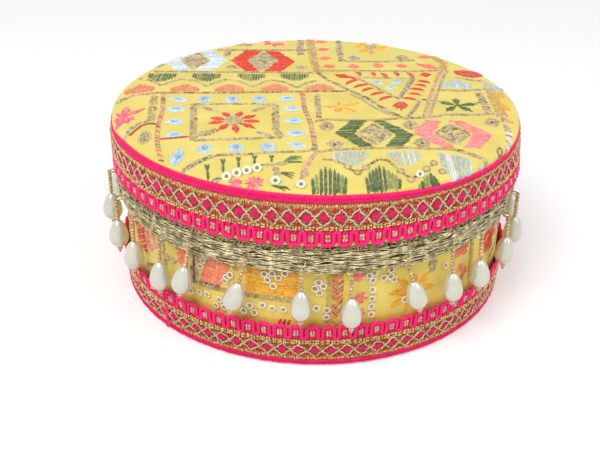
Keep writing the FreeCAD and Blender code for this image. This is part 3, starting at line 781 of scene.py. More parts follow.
def serpentine(middle):
    """The scallop cord over one pitch: over the slit, down a side, round the blunt tip, and up again."""
    side = PITCH / 2 - SLIT_HALF - CORD_HALF
    over = PITCH / 2 - side
    top = KNOT_FOOT + 0.6
    tip = SCALLOP_TIP - CORD_HALF
    half = []
    for i in range(5):
        at = math.pi / 2 * i / 4
        half.append((-PITCH / 2 + over * math.sin(at), top + over - over * math.cos(at)))
    for i in range(7):
        at = math.pi / 2 * i / 6
        across, down = abs(math.cos(at)) ** SQUARENESS, math.sin(at) ** SQUARENESS
        half.append((-side * across, tip - BLUNT + BLUNT * down))
    path = half + [(-a, b) for a, b in half[-2::-1]]
    return [(middle + a, b, 0.6) for a, b in path]


def speckle(middle, count, half_long, half_wide):
    """Short loose stitches strewn over the lattice's ground."""
    parts = []
    for _ in range(count):
        a = middle + random.uniform(-0.5, 0.5) * PITCH
        b = random.uniform(WRAP_FOOT + 0.2, LATTICE_FOOT - 0.2)
        parts.append(lump(a, b, 0.36, half_long, half_wide, 0.24, random.uniform(-0.5, 0.5), 5, 2))
    return parts


def pink_work(middle, scallop):
    """Plaited piping, the scallop's cord, and the padded bed inside it, over one pitch."""
    parts = []
    for i in range(PLAITS):
        a = middle + PITCH * ((i + 0.5) / PLAITS - 0.5)
        for row, lean in ((0.3, 0.6), (0.72, -0.6)):
            parts.append(lump(a, PIPING_FOOT * row, 0.58, 0.32, PIPING_FOOT * 0.3, 0.36, lean))
    parts.append(sweep(serpentine(scallop), CORD_HALF, 0.5, 8))
    parts.append(lump(scallop, KNOT_FOOT + 3.1, 0.42, 1.35, 3.0, 0.26, 0, 10, 3))
    for i in range(4):
        parts.append(lump(scallop + (i - 1.5) * 0.58, KNOT_FOOT + 0.95, 0.6, 0.25, 0.8, 0.28, 0, 5, 3))
    return parts


def satin_work(middle, scallop):
    """The upright satin stitches of one lozenge."""
    parts = []
    a = middle + random.uniform(-0.35, 0.35)
    b = (WRAP_FOOT + LATTICE_FOOT) / 2 + random.uniform(-0.25, 0.25)
    for i in range(-2, 3):
        long = 2.55 * (1 - abs(i) / 3.4) * random.uniform(0.9, 1.1)
        parts.append(lump(a + 0.64 * i, b, 0.74, 0.42, long, 0.34, 0, 5, 3))
    return parts


def gilt_work(middle, scallop):
    """Close wraps under the piping, loose specks, and two uneven rows of knots, over one pitch."""
    parts = []
    for i in range(WRAPS):
        a = middle + PITCH * ((i + random.uniform(0.2, 0.8)) / WRAPS - 0.5)
        b = (PIPING_FOOT + WRAP_FOOT) / 2 + random.uniform(-0.3, 0.3)
        wide, long = random.uniform(0.26, 0.42), random.uniform(0.7, 1.2)
        out, lean = random.uniform(0.4, 0.62), random.uniform(-0.35, 0.35)
        parts.append(lump(a, b, out, wide, long, 0.34, lean, 5, 3))
    parts += speckle(middle, 18, 0.46, 0.22)
    for i in range(KNOTS):
        a = middle + PITCH * ((i + random.uniform(0.2, 0.8)) / KNOTS - 0.5)
        for b in (LATTICE_FOOT + 0.35, KNOT_FOOT - 0.5):
            wide, lean = random.uniform(0.4, 0.75), random.uniform(-0.7, 0.7)
            parts.append(lump(a, b + random.uniform(-0.25, 0.25), 0.62, wide, 0.42, 0.42, lean, 6, 3))
    return parts


def cord_work(middle, scallop):
    """The lattice's two wavering cords and the scallop's own knot, over one pitch."""
    parts = []
    for first, last, out in ((WRAP_FOOT, LATTICE_FOOT, 0.86), (LATTICE_FOOT, WRAP_FOOT, 0.66)):
        path = []
        for i in range(11):
            t = i / 10
            stray = random.uniform(-0.5, 0.5) if 0 < i < 10 else 0
            rise = 0.1 * math.sin(math.pi * 4 * t)
            path.append((middle + PITCH * t + stray, first + (last - first) * t, out + rise))
        parts.append(sweep(path, 0.42, 0.3, 6))
    for i, a in enumerate((-0.52, 0.52)):
        for j, b in enumerate((2.3, 3.15, 4.0)):
            lean = 0.6 - 1.2 * ((i + j) % 2) + random.uniform(-0.3, 0.3)
            parts.append(lump(scallop + a, KNOT_FOOT + b, 0.7, 0.58, 0.46, 0.36, lean, 6, 3))
    return parts


def crimson_work(middle, scallop):
    """Short red stitches on the lattice's ground and corner stitches between the lozenges, over one pitch."""
    parts = speckle(middle, 22, 0.44, 0.22)
    for i in range(4):
        off = (i - 1.5) * 0.58
        for b in (WRAP_FOOT + 0.85, LATTICE_FOOT - 0.85):
            parts.append(lump(middle + PITCH / 2 + off, b, 0.44, 0.25, 0.7 - 0.3 * abs(off), 0.26, 0, 5, 2))
    return parts


def lace_run(repeats, work, shift):
    """Several pitches side by side, about the front; the scallops are shifted from the lozenges."""
    parts = []
    for number in range(repeats):
        middle = (number + 0.5 - repeats / 2) * PITCH
        parts += work(middle, middle + shift)
    return joined(*parts)


WORKS = (("pink", pink_work, PINK, "pink_cord"), ("satin", satin_work, LOZENGE, "pink_cord"),
         ("gilt", gilt_work, GILT, "gilt_lace"), ("cords", cord_work, CORD, "gilt_lace"),
         ("crimson", crimson_work, CRIMSON, "pink_cord"))
print("one pitch has", sum(len(lace_run(1, work, 0)[1]) for _, work, _, _ in WORKS), "faces")


# %% Wrap the lace round the lid and the base
LID_LACE_TOP = 77.4
LID_LACE_BACK = 88.0
LID_REPEATS = 88
BASE_LACE_BACK = 84.4
BASE_REPEATS = 85
BASE_ROWS = ((0, 0.2), (PIPING_FOOT, 2.4), (WRAP_FOOT, 4.4), (LATTICE_FOOT, 10.4), (KNOT_FOOT, 12.7),
             (SCALLOP_TIP, 19.95))
BASE_FLARE = 1.3
FLARE_FROM = 3
FLARE_OVER = 17
BASE_LOOSE = 0.5
BASE_BULK = 1.2
FRONT_SLIP = 0.35
RIGHT_SLIP = 1.75
FULL_SLIP = 2.1
BACK_TURN = (58, 76)
BACK_PRESSED = 0.6
RIGHT_FLARE = 1.2


def lid_lace_at(out, b):
    """Radius and height of a place on the lid's lace."""
    return LID_LACE_BACK + out, LID_LACE_TOP - b


def base_lace_at(out, b):
    """Radius and height on the base's lace, whose rows differ and whose scallops stand away from the wall."""
    for (b0, z0), (b1, z1) in zip(BASE_ROWS, BASE_ROWS[1:]):
        if b <= b1:
            break
    high = z0 + (z1 - z0) * (b - b0) / (b1 - b0)
    flare = BASE_FLARE * max(0, high - FLARE_FROM) / FLARE_OVER
    return BASE_LACE_BACK + BASE_LOOSE + out * BASE_BULK + flare, high


def wrapped(part, per_turn, at, start=0.0):
    """Bend a flat part (along, from the bound edge, out) round the box, with so many mm to a turn."""
    points = []
    for a, b, out in part[0]:
        turn = 2 * math.pi * (a + start) / per_turn
        radius, high = at(out, b)
        points.append((radius * math.sin(turn), -radius * math.cos(turn), high))
    return points, part[1], part[2]


def outward(made):
    """Make each closed part of a mesh face outwards."""
    work = bmesh.new()
    work.from_mesh(made.data)
    bmesh.ops.recalc_face_normals(work, faces=work.faces)
    work.to_mesh(made.data)
    work.free()
    return made


def ease(value, low, high):
    """Nought below low, one above high, and a smooth step between."""
    share = min(1, max(0, (value - low) / (high - low)))
    return share * share * (3 - 2 * share)


def sewn_lower(made):
    """Sew the lid's piping lower on the right and round the back, and flare the scallops on the right."""
    foot = LID_LACE_TOP - WRAP_FOOT
    scallops = LID_LACE_TOP - 8
    for point in made.data.vertices:
        turn = math.degrees(math.atan2(point.co.x, -point.co.y))
        right = FRONT_SLIP * ease(turn, -15, 5) + RIGHT_SLIP * ease(turn, 5, 42)
        left = (FULL_SLIP - right) * ease(-turn, *BACK_TURN)
        share = min(1, max(0, (point.co.z / MM - foot) / WRAP_FOOT))
        point.co.z -= (right + left) * share * MM
        out = math.hypot(point.co.x, point.co.y) / MM - LID_LACE_BACK
        pressed = BACK_PRESSED * ease(abs(turn), *BACK_TURN) * min(1, 2 * share)
        flat = 1 - pressed * max(0, out) / (LID_LACE_BACK + out)
        flat += RIGHT_FLARE * ease(turn, 35, 75) * max(0, scallops - point.co.z / MM) / 14 / LID_LACE_BACK
        point.co.x *= flat
        point.co.y *= flat


def lace(body, repeats, run, at, tuck, shift, start):
    """Sew one lace on one body: its ground, the piping's core, and the works that repeat round it."""
    rows = [PIPING_FOOT - 0.1, WRAP_FOOT, 9, LATTICE_FOOT, KNOT_FOOT]
    tape = lathe([at(0.05, b) for b in rows] + [at(0.3, b) for b in rows[::-1]], ROUND_STEPS, closed=True)
    rows = [KNOT_FOOT - 0.3, 16, 18, 19.8]
    bed = lathe([at(0.04, b) for b in rows] + [at(0.28, b) for b in rows[::-1]], ROUND_STEPS, closed=True)
    slots = [0] * len(tape[1]) + [1] * len(bed[1])
    ground = outward(piece(f"{body}_lace_ground", joined(tape, bed), TAPE, CRIMSON, slots=slots))
    edge = ((0.02, 3.55), (0.42, 3.55), (0.55, 2.7), (0.5, 1.8), (0.55, 0.9), (0.4, 0.15), (0.1, 0),
            (-tuck, 0.15), (-tuck * 0.2, 0.9), (0.02, 1.6))
    piping = lathe([at(*corner) for corner in edge], ROUND_STEPS, closed=True)
    core = outward(piece(f"{body}_lace_core", piping, PINK))
    made = {"gilt_lace": [ground], "pink_cord": [core]}
    for word, work, material, slot in WORKS:
        flat = piece(f"{body}_lace_{word}", wrapped(lace_run(run, work, shift), repeats * PITCH, at, start))
        grown(flat, ROUND, Count=repeats // run, Unevenness=0.0008, Material=material)
        made[slot].append(outward(flat))
    for slot, parts in made.items():
        for part in parts:
            if body == "lid":
                sewn_lower(part)
            settle(part, body, slot)
    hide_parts(f"{body}_lace_band")
    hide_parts(f"{body}_lace_piping")
    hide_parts(f"{body}_lace_scallops")


lace("lid", LID_REPEATS, 4, lid_lace_at, tuck=0.5, shift=1.7, start=0.7)
lace("base", BASE_REPEATS, 5, base_lace_at, tuck=0.0, shift=-0.9, start=1.5)


# %% The join of the base's lace
JOIN_TURN = math.radians(-44)
JOIN_FOOT = 0.6
JOIN_TALL = 13.6
JOIN_OUT = 0.9
join_path = []
for i in range(12):
    kick = 1.2 if i == 0 else 0
    join_path.append((0.5 * math.sin(i * 0.9) - kick, JOIN_FOOT + JOIN_TALL * i / 11, JOIN_OUT))
fold = wrapped(sweep(join_path, 1.05, 0.42, 8), BASE_REPEATS * PITCH, base_lace_at)
swung = [tuple(Matrix.Rotation(JOIN_TURN, 3, "Z") @ Vector(p)) for p in fold[0]]
join = outward(piece("base_lace_join", (swung,) + fold[1:], PINK))
settle(join, "base", "pink_cord")
print("the base's lace is joined at", round(math.degrees(JOIN_TURN)), "degrees")


# %% [markdown]
# ## The metallic braid
# Under the lid a soft braid of metallic strands goes round the base. Many fine strands waver across one
# another over a core coloured dark brown as painted shade for the gaps between them, and small loops stand
# along the top edge. Each strand is a closed path drawn flat round the box with its own waves, and a section
# is swept along it, because strands that all follow one tree's rule would look machine made.

# %% Braid the strands
BRAID_LOW = 44.4
BRAID_HIGH = 53.6
BRAID_BACK = 84.4
BRAID_PUFF = 3.8
BRAID_MIDDLE = 87.0
BRAID_ROUND = 2 * math.pi * BRAID_MIDDLE
BRAID_HANG = 1.3
STRANDS = 29
STRAND_STEPS = 480
STRAND_SIDES = 5
CORE_SUNK = 0.9
CORE_STEP = 0.95
random.seed(41)


def puff(high, turn=0.0):
    """How far the braid stands out at a height, with soft swells on its way round."""
    t = (high - BRAID_LOW) / (BRAID_HIGH - BRAID_LOW) * 2 - 1
    swell = 0.14 * math.sin(23 * turn) + 0.12 * math.sin(61 * turn + 1)
    return BRAID_PUFF * (0.8 + 0.2 * math.sqrt(max(0, 1 - t * t))) + swell - 0.2


def strand(level, top=BRAID_HIGH - 0.35):
    """One closed strand: a slow wander with faster waves that cross its neighbours, kept below its top."""
    sway = random.uniform(0.2, 0.6)
    waves = random.randint(16, 44)
    slow = random.randint(5, 12)
    phase, wander = random.uniform(0, 6.28), random.uniform(0, 6.28)
    path = []
    for i in range(STRAND_STEPS):
        turn = 2 * math.pi * i / STRAND_STEPS
        high = level + sway * math.sin(waves * turn + phase) + 0.4 * math.sin(slow * turn + wander)
        high = min(top, max(BRAID_LOW - BRAID_HANG, high))
        out = puff(high, turn) - 0.4 + 0.34 * math.cos(waves * turn * 1.5 + wander)
        path.append((turn * BRAID_MIDDLE, high, out))
    return path


def closed_strand(path, half_wide, half_thick):
    """Sweep a strand whose last point meets its first one turn later."""
    again = (path[0][0] + BRAID_ROUND, *path[0][1:])
    points, faces, maps = sweep(path + [again], half_wide, half_thick, STRAND_SIDES)
    count = len(path) * STRAND_SIDES
    faces = [[i % count if i >= count else i for i in face] for face in faces[:-2]]
    return points[:count], faces, maps[:-2]


def braid_at(out, b):
    """Radius and height of a place on the braid."""
    return BRAID_BACK + out, b


strands = []
for row in range(STRANDS):
    level = BRAID_LOW - 0.8 + (BRAID_HIGH - BRAID_LOW + 0.3) * row / (STRANDS - 1)
    strands.append(closed_strand(strand(level), random.uniform(0.16, 0.24), 0.25))
for level in (53.7, 54.1, 54.5):
    strands.append(closed_strand(strand(level, 55.0), 0.2, 0.22))
braid = outward(piece("braid_strands", wrapped(joined(*strands), BRAID_ROUND, braid_at), ZARI))
settle(braid, "base", "zari_braid")

# Painted shade: the dark core behind the strands stands in for the shade in their gaps.
core_rows = [BRAID_LOW - 0.6 + CORE_STEP * i for i in range(11)]
core = [(BRAID_BACK + puff(z) - CORE_SUNK, z) for z in core_rows]
core = [(BRAID_BACK, core_rows[0]), *core, (BRAID_BACK, core_rows[-1])]
braid_core = outward(piece("braid_core", lathe(core, ROUND_STEPS, closed=True), ZARI_PAINTED_SHADE))
settle(braid_core, "base", "zari_braid", "zari_braid")

loop = []
for i in range(11):
    at = math.pi * i / 10
    loop.append((-1.6 * math.cos(at), BRAID_HIGH - 0.7 + 2.2 * math.sin(at), 2.7 + 0.3 * math.cos(at)))
loops = piece("braid_loops", wrapped(sweep(loop, 0.36, 0.32, 5), BRAID_ROUND, braid_at))
outward(grown(loops, ROUND, Count=268, Jitter=0.01, Seed=7, Unevenness=0.0014, Material=ZARI_LOOP))
settle(loops, "base", "zari_braid")
print("braid strands:", len(strands), "faces:", len(braid.data.polygons))


# %% [markdown]
# ## Pearl drops
# Twenty-eight drops hang from thread bars sewn into the braid. Each has a wound eye, six seed beads, a
# pear-shaped pearl, a stop bead and a knot, and swings on its own bar, so each is a piece of its own. The
# places and leans repeat the CAD model's, which were read from the photograph.

# %% String the drops
DROPS = 28
FIRST_DROP = -90.5
SEWN_SHIFT = (
    *(-4, -0.5, -0.5, -1.5, -2.5, -5, -2.5, -2, -3, -2, -1.5, -3.5, -0.5, -0.5, 1.5),
    *(-1.5, -2, -3, -3.5, -4, -4, -2.5, -3, -1, -1, -2, -1.5, 0),
)
SEWN_RISE = (
    *(4, 4.5, 1.5, 0.5, -0.5, 2.5, 2, 2, -1.5, 1.5, 0, -0.5, -1, -1, -1.5),
    *(0.5, 0, 1, 1.5, 0, -0.5, 1, -1, 1, 0, 0.5, -0.5, 1),
)
LEAN = (
    *(0, -2, -3, -4, -2.5, -14, -16, 0, 1.5, 16, 5.5, 4.5, 2, 0, 0),
    *(-2, -3, -4, -2.5, -10, -12, 0, 1.5, 12, 5.5, 4.5, 2, 0),
)
DROP_RING = 90.95
BAR_HEIGHT = 46.9
EYE = 0.62
SEEDS = 6
SEED_TOP = -0.95
SEED_STEP = 1.6
SEED_LONG = 1.55
PEARL_SLOT, SEED_SLOT, STOP_SLOT, SEWING_SLOT = range(4)


def drop_turn(number):
    """Degrees from the front to a drop's bar."""
    return FIRST_DROP + number * 360 / DROPS + SEWN_SHIFT[number]


def drop_place(number):
    """Where a drop's bar is, and how the drop leans on it."""
    turned = Matrix.Rotation(math.radians(drop_turn(number)), 4, "Z")
    sewn = Matrix.Translation((0, -DROP_RING, BAR_HEIGHT + SEWN_RISE[number]))
    return turned @ sewn @ Matrix.Rotation(math.radians(-LEAN[number]), 4, "Y")


def bead(low, high, radius, hole, rings, steps):
    """A rounded bead on the thread, from low to high."""
    middle, half = (low + high) / 2, (high - low) / 2
    profile = [(max(hole, radius * math.cos(a)), middle + half * math.sin(a))
               for a in (math.pi * (i / rings - 0.5) for i in range(rings + 1))]
    return lathe([(0, profile[0][1])] + profile + [(0, profile[-1][1])], steps)


def pearl(low, high, radius, widest):
    """A pear-shaped pearl: round below, drawn in towards its top."""
    profile = [(0, low)]
    for i in range(1, 9):
        a = math.pi / 2 * (i / 8 - 1)
        profile.append((radius * math.cos(a), low + widest + widest * math.sin(a)))
    for i in range(1, 12):
        a = math.pi / 2 * i / 12
        profile.append((radius * (math.cos(a) * 0.78 + 0.22 * (1 - i / 12)) + 0.25 * i / 12,
                        low + widest + (high - low - widest) * (0.75 * math.sin(a) + 0.25 * i / 12)))
    return lathe(profile + [(0, high)], 28)


def flat_to_upright(part):
    """Stand a flat drawing up across the bar, in the plane the drop swings in."""
    return [(out, a, b) for a, b, out in part[0]], part[1], part[2]


def drop_parts():
    """The parts of a drop with the material of each, hung from the bar at the origin."""
    turns = [2 * math.pi * i / 10 for i in range(10)]
    eye = [(EYE * math.sin(a), -0.05 + EYE * math.cos(a), 0) for a in turns]
    parts = [(flat_to_upright(sweep(eye, 0.22, 0.55, 6, closed=True)), SEWING_SLOT)]
    parts.append((bead(-1.3, -0.6, 0.42, 0.2, 4, 8), SEWING_SLOT))
    for i in range(SEEDS):
        at = SEED_TOP - SEED_STEP * i
        parts.append((bead(at - SEED_LONG, at, 0.95, 0.3, 6, 12), SEWING_SLOT if i < 2 else SEED_SLOT))
    parts.append((pearl(-23.75, -10.55, 4.25, 4.7), PEARL_SLOT))
    parts.append((bead(-25.8, -23.8, 1.2, 0.3, 7, 14), STOP_SLOT))
    parts.append((bead(-26.8, -25.9, 0.6, 0.15, 4, 8), SEWING_SLOT))
    return parts


parts = drop_parts()
drop_shape = joined(*(part for part, _ in parts))
drop_slots = [slot for part, slot in parts for _ in part[1]]
for number in range(DROPS):
    place = drop_place(number)
    body = f"drop_{number + 1:02d}"
    hung = ([tuple(place @ Vector(p)) for p in drop_shape[0]],) + drop_shape[1:]
    drop = outward(piece(f"{body}_beads", hung, PEARL, SEED, STOP, SEWING, slots=drop_slots))
    settle(drop, body, "pearl", f"pearl_{body}")
print("drops:", DROPS, "of", len(drop_shape[1]), "faces each")


# %% [markdown]
# ## Thread that follows lines
# Stitches, thread bars and rings are all thread along a line. A line is drawn as edges in a mesh, and a
# tree turns the edges into curves and runs a round section along them. Two attributes on the points go with
# it: how stout the thread is there, which makes a stitch taper into the cloth, and its tone, which the
# floss material reads, so that neighbouring stitches differ as skeins do.

# %% The tree that winds thread along edges, and the drops' bars
THREAD, start, end = geometry_tree("Thread along lines", [
    ("Thread Radius", VALUE, 0.0003), ("Sides", INTEGER, 5), ("Material", MATERIAL, None)])
lines = add(THREAD, "GeometryNodeMeshToCurve", {0: start.outputs["Geometry"]})
section = add(THREAD, "GeometryNodeCurvePrimitiveCircle",
              {"Resolution": start.outputs["Sides"], "Radius": start.outputs["Thread Radius"]})
stout = add(THREAD, "GeometryNodeInputNamedAttribute", {"Name": "stout"}, data_type="FLOAT")
wound = add(THREAD, "GeometryNodeCurveToMesh", {
    "Curve": lines.outputs[0], "Profile Curve": section.outputs[0], "Scale": stout.outputs[0],
    "Fill Caps": True})
end_tree(THREAD, wound.outputs[0], start.outputs["Material"], end)


def wire(name, paths):
    """An object of bare edges from (points, stoutness, tone); a path that ends where it began is closed."""
    points, edges, stouts, tones = [], [], [], []
    for path, stoutness, tone in paths:
        first = len(points)
        looped = path[0] == path[-1]
        kept = path[:-1] if looped else path
        points += [tuple(c * MM for c in p) for p in kept]
        stouts += stoutness[:len(kept)]
        tones += [tone] * len(kept)
        edges += [(first + i, first + i + 1) for i in range(len(kept) - 1)]
        if looped:
            edges.append((first + len(kept) - 1, first))
    mesh = bpy.data.meshes.new(name)
    mesh.from_pydata(points, edges, [])
    mesh.attributes.new("stout", "FLOAT", "POINT").data.foreach_set("value", stouts)
    mesh.attributes.new("tone", "FLOAT", "POINT").data.foreach_set("value", tones)
    return linked(name, mesh)


BAR = ((-1.3, 4.6, 0.6), (-1.3, 2.2, 0.4), (-1.25, 0.5, 0.08), (-0.8, 0.05, 0), (0.8, 0.05, 0),
       (1.25, 0.5, 0.08), (1.3, 2.2, 0.4), (1.3, 4.6, 0.6))
bars = []
for number in range(DROPS):
    place = drop_place(number)
    bars.append(([tuple(place @ Vector(p)) for p in BAR], [1] * len(BAR), 0.5))
hangers = grown(wire("drop_bars", bars), THREAD, Thread_Radius=0.00035, Sides=6, Material=ZARI)
settle(hangers, "base", "sewing_thread", "drop_hangers")


# %% [markdown]
# ## Embroidery
# The cloth carries folk patchwork in satin stitch, with chain-stitched zari lines and sewn sequins. A hoop
# collects stitches that are drawn flat in millimetres, lays each on the cloth as a low arch whose ends sink
# in, and keeps one list for each thread colour. Drawing shapes and letting the hoop fill them is close to
# how it is really worked.

# %% The embroidery hoop and its stitches
LONGEST = 9.0
SHORTEST = 0.3
SUNK = -0.15
RING_LIFT = 0.16
LINE_LIFT = 0.2
ARCH = ((0, SUNK, 0.55), (0.18, 0.17, 1.0), (0.82, 0.17, 1.0), (1, SUNK, 0.55))
EDGE_ARCH = ARCH[:2] + tuple((share, LINE_LIFT, 1.0) for share in (0.35, 0.5, 0.65, 0.75)) + ARCH[2:]
random.seed(7)


def between(start, end, share):
    """The place a share of the way from start to end."""
    return tuple(a + (b - a) * share for a, b in zip(start, end))


def walk(points, step):
    """Even places along a line, with the line's direction at each, in radians."""
    for start, end in zip(points, points[1:]):
        count = max(1, round(math.dist(start, end) / step))
        aim = math.atan2(end[1] - start[1], end[0] - start[0])
        for i in range(count):
            yield *between(start, end, (i + 0.5) / count), aim


class Hoop:
    """Stitches drawn flat, in mm, and laid on one surface."""

    def __init__(self, lay, rim=math.inf):
        self.lay = lay
        self.rim = rim
        self.paths = {colour: [] for colour in FLOSS}
        self.sequins = []

    def stitch(self, colour, start, end, over=0.0):
        """One stitch, cut short where it leaves the cloth; a long one is worked as two."""
        length = math.dist(start, end)
        if length < SHORTEST:
            return
        if length > LONGEST:
            middle = between(start, end, random.uniform(0.42, 0.58))
            self.stitch(colour, start, middle, over)
            self.stitch(colour, middle, end, over)
            return
        if self.lay(*start, 0) is None:
            start, end = end, start
        path = []
        arch = EDGE_ARCH if max(math.hypot(*start), math.hypot(*end)) > self.rim else ARCH
        for share, lift, _ in arch:
            spot = self.lay(*between(start, end, share), lift + over)
            if spot is None:
                break
            path.append(spot)
        if len(path) > 1:
            self.paths[colour].append((path, [stout for _, _, stout in arch][:len(path)], random.random()))

    def ring(self, colour, x, y, wide, high, aim=0.0):
        """A closed loop of thread, an oval of two half sizes turned by its aim."""
        c, s = math.cos(aim), math.sin(aim)
        loop = []
        for i in range(8):
            a, b = wide * math.cos(math.pi * i / 4), high * math.sin(math.pi * i / 4)
            loop.append(self.lay(x + a * c - b * s, y + a * s + b * c, RING_LIFT))
        if None not in loop:
            self.paths[colour].append((loop + loop[:1], [1.0] * 8, random.random()))

    def line(self, colour, points):
        """One thread laid through several places, with both ends sunk in."""
        last = len(points) - 1
        path = [self.lay(x, y, LINE_LIFT if 0 < i < last else SUNK) for i, (x, y) in enumerate(points)]
        if None not in path:
            self.paths[colour].append((path, [0.6] + [1.0] * (last - 1) + [0.6], random.random()))

    def spangle(self, x, y, size=1.0):
        """A sequin."""
        self.sequins.append((x, y, size))

    def count(self):
        """How many threads have been laid so far."""
        return sum(map(len, self.paths.values()))


print("floss colours:", ", ".join(FLOSS))


# %% [markdown]
# ## Filling stitches
# Satin fills an outline with parallel stitches and leaves their ends a little ragged. A leaf is satin
# worked along its length between two points, and serves for petals, bars and fans. A dome stands strokes on
# a line, like a comb.

# %% Satin, leaves, flowers and domes
FLOSS_GAP = 0.5
DOME_CURVE = 1.7
CHEVRON_AIM = 8.0


def satin(hoop, colours, outline, aim=0.0, gap=0.52, ragged=0.35):
    """Parallel stitches across an outline, along the aim in degrees, in colours picked by the seed."""
    cos, sin = math.cos(math.radians(aim)), math.sin(math.radians(aim))
    turned = [(x * cos + y * sin, y * cos - x * sin) for x, y in outline]
    row = min(y for _, y in turned) + gap / 2
    while row < max(y for _, y in turned):
        cuts = []
        for (x0, y0), (x1, y1) in zip(turned, turned[1:] + turned[:1]):
            if (y0 <= row) != (y1 <= row):
                cuts.append(x0 + (x1 - x0) * (row - y0) / (y1 - y0))
        cuts.sort()
        for a, b in zip(cuts[::2], cuts[1::2]):
            ends = [(x + random.uniform(-ragged, ragged), row + random.uniform(-0.08, 0.08)) for x in (a, b)]
            hoop.stitch(random.choice(colours), *((x * cos - y * sin, x * sin + y * cos) for x, y in ends))
        row += gap


def leaf(hoop, colour, start, end, wide, core=None, over=0.0, point=1.15):
    """A leaf of stitches from start to end, with a core of another colour; a lower point is sharper."""
    long = math.dist(start, end)
    along = ((end[0] - start[0]) / long, (end[1] - start[1]) / long)
    count = max(2, round(wide / FLOSS_GAP))
    for i in range(count):
        t = (i + 0.5) / count * 2 - 1
        half = long / 2 * max(0.2, (1 - abs(t) ** point) ** 0.75) * random.uniform(0.86, 1.1)
        x, y = between(start, end, 0.5 + random.uniform(-0.04, 0.04))
        x, y = x - along[1] * t * wide / 2, y + along[0] * t * wide / 2
        reach = (along[0] * half, along[1] * half)
        hoop.stitch(colour, (x - reach[0], y - reach[1]), (x + reach[0], y + reach[1]), over)
    if core:
        leaf(hoop, core, between(start, end, 0.22), between(start, end, 0.8), wide * 0.4, over=0.2)


def flower(hoop, colour, heart, tips, near, wide):
    """Petals from near the heart to each tip."""
    for tip in tips:
        leaf(hoop, colour, between(heart, tip, near / math.dist(heart, tip)), tip, wide)


def stroke(hoop, colours, foot, tip, wide):
    """One bold stroke of three threads, in a colour picked by the seed."""
    colour = random.choice(colours)
    for side in (-1, 0, 1):
        end = between(foot, tip, 1 - 0.1 * abs(side))
        hoop.stitch(colour, (foot[0] + side * wide * 0.28, foot[1]), (end[0] + side * wide * 0.24, end[1]))


def dome(hoop, colours, left, right, top, gap=1.0, least=0.45, full=0.85):
    """Strokes that stand on a line from left to right and reach to a rounded top, or hang to it."""
    count = round(math.dist(left, right) / gap)
    middle = between(left, right, 0.5)
    for i in range(count):
        share = (i + 0.5) / count
        foot = between(left, right, share)
        rise = 1 - (1 - least) * abs(2 * share - 1) ** DOME_CURVE + random.uniform(-0.07, 0.07)
        tip = (foot[0] + (top[0] - middle[0]) * rise, foot[1] + (top[1] - middle[1]) * rise)
        stroke(hoop, colours, foot, tip, gap * full)


def bar(hoop, colour, start, end, bow=0.9, wide=1.3):
    """A short bowed bar of four threads, stoutest in its middle."""
    long = math.dist(start, end)
    side = ((start[1] - end[1]) / long, (end[0] - start[0]) / long)
    for row in (-1.5, -0.5, 0.5, 1.5):
        points = []
        for share in (0, 0.25, 0.5, 0.75, 1):
            off = (row * wide / 3 + bow) * math.sin(math.pi * share) + row * 0.08
            x, y = between(start, end, share)
            points.append((x + side[0] * off, y + side[1] * off))
        hoop.line(colour, points)


def chevrons(hoop, colours, x, y, outline):
    """Two satin chevrons that face each other; the second is the first turned half round."""
    for side in (1, -1):
        satin(hoop, colours, [(x + side * a, y + side * b) for a, b in outline], CHEVRON_AIM, 0.46, 0.85)


print("a leaf is about", round(6 / FLOSS_GAP), "stitches wide at 6 mm")


# %% [markdown]
# ## Line stitches
# Zari lines are worked a few ways: chain stitch, a fishbone band, a rope of slanted stitches in mixed
# colours, and diamonds and ovals of loops. Each walks along listed points.

# %% Chains, bands, ropes and knotted fields
def chain(hoop, *points, colour="khaki", size=0.5):
    """Chain stitch: long doubled loops set one after another."""
    for x, y, aim in walk(points, size * 3.4):
        hoop.ring(colour, x, y, size * 1.9, size, aim + random.uniform(-0.12, 0.12))
        # Painted shade: on khaki chains about a fifth of the inner rings are brown, standing in for the shade
        # inside the loops.
        inner = "brown" if colour == "khaki" and random.random() < 0.2 else colour
        hoop.ring(inner, x, y, size * 1.2, size * 0.45, aim)


def band(hoop, *points, wide=3.0, colour="khaki", pitch=0.95):
    """A fishbone band: pairs of short stitches from its middle line out to both sides."""
    for x, y, aim in walk(points, pitch):
        for side in (-1, 1):
            half = side * wide / 2 * random.uniform(0.85, 1.1)
            cos, sin = math.cos(aim), math.sin(aim)
            tip = (x + cos * 0.9 - sin * half, y + sin * 0.9 + cos * half)
            # Painted shade: about one khaki stitch in fourteen is brown, standing in for the shade along the
            # zari line.
            hoop.stitch("brown" if colour == "khaki" and random.random() < 0.07 else colour, (x, y), tip)


def rope(hoop, *points, wide=2.0, colours=("khaki", "khaki", "brown")):
    """Slanted stitches one after another, in colours picked by the seed."""
    for x, y, aim in walk(points, 0.68):
        half = wide / 2 * random.uniform(0.85, 1.15)
        slant = (math.cos(aim + 0.9) * half, math.sin(aim + 0.9) * half)
        hoop.stitch(random.choice(colours), (x - slant[0], y - slant[1]), (x + slant[0], y + slant[1]), 0.08)


def diamond(x, y, wide, high):
    """The corners of a diamond of two half sizes, with the first one again at the end."""
    return (x - wide, y), (x, y + high), (x + wide, y), (x, y - high), (x - wide, y)


def coils(hoop, x, y, half_wide, half_high):
    """A diamond of chain stitch with smaller ones inside it."""
    for share in (1, 0.68, 0.38, 0.12):
        chain(hoop, *diamond(x, y, half_wide * share, half_high * share))


def eyelet(hoop, x, y, *ovals, aim=0.0):
    """Ovals of zari about one place, each of two half sizes."""
    for wide, high in ovals:
        hoop.ring("khaki", x, y, wide, high, aim)


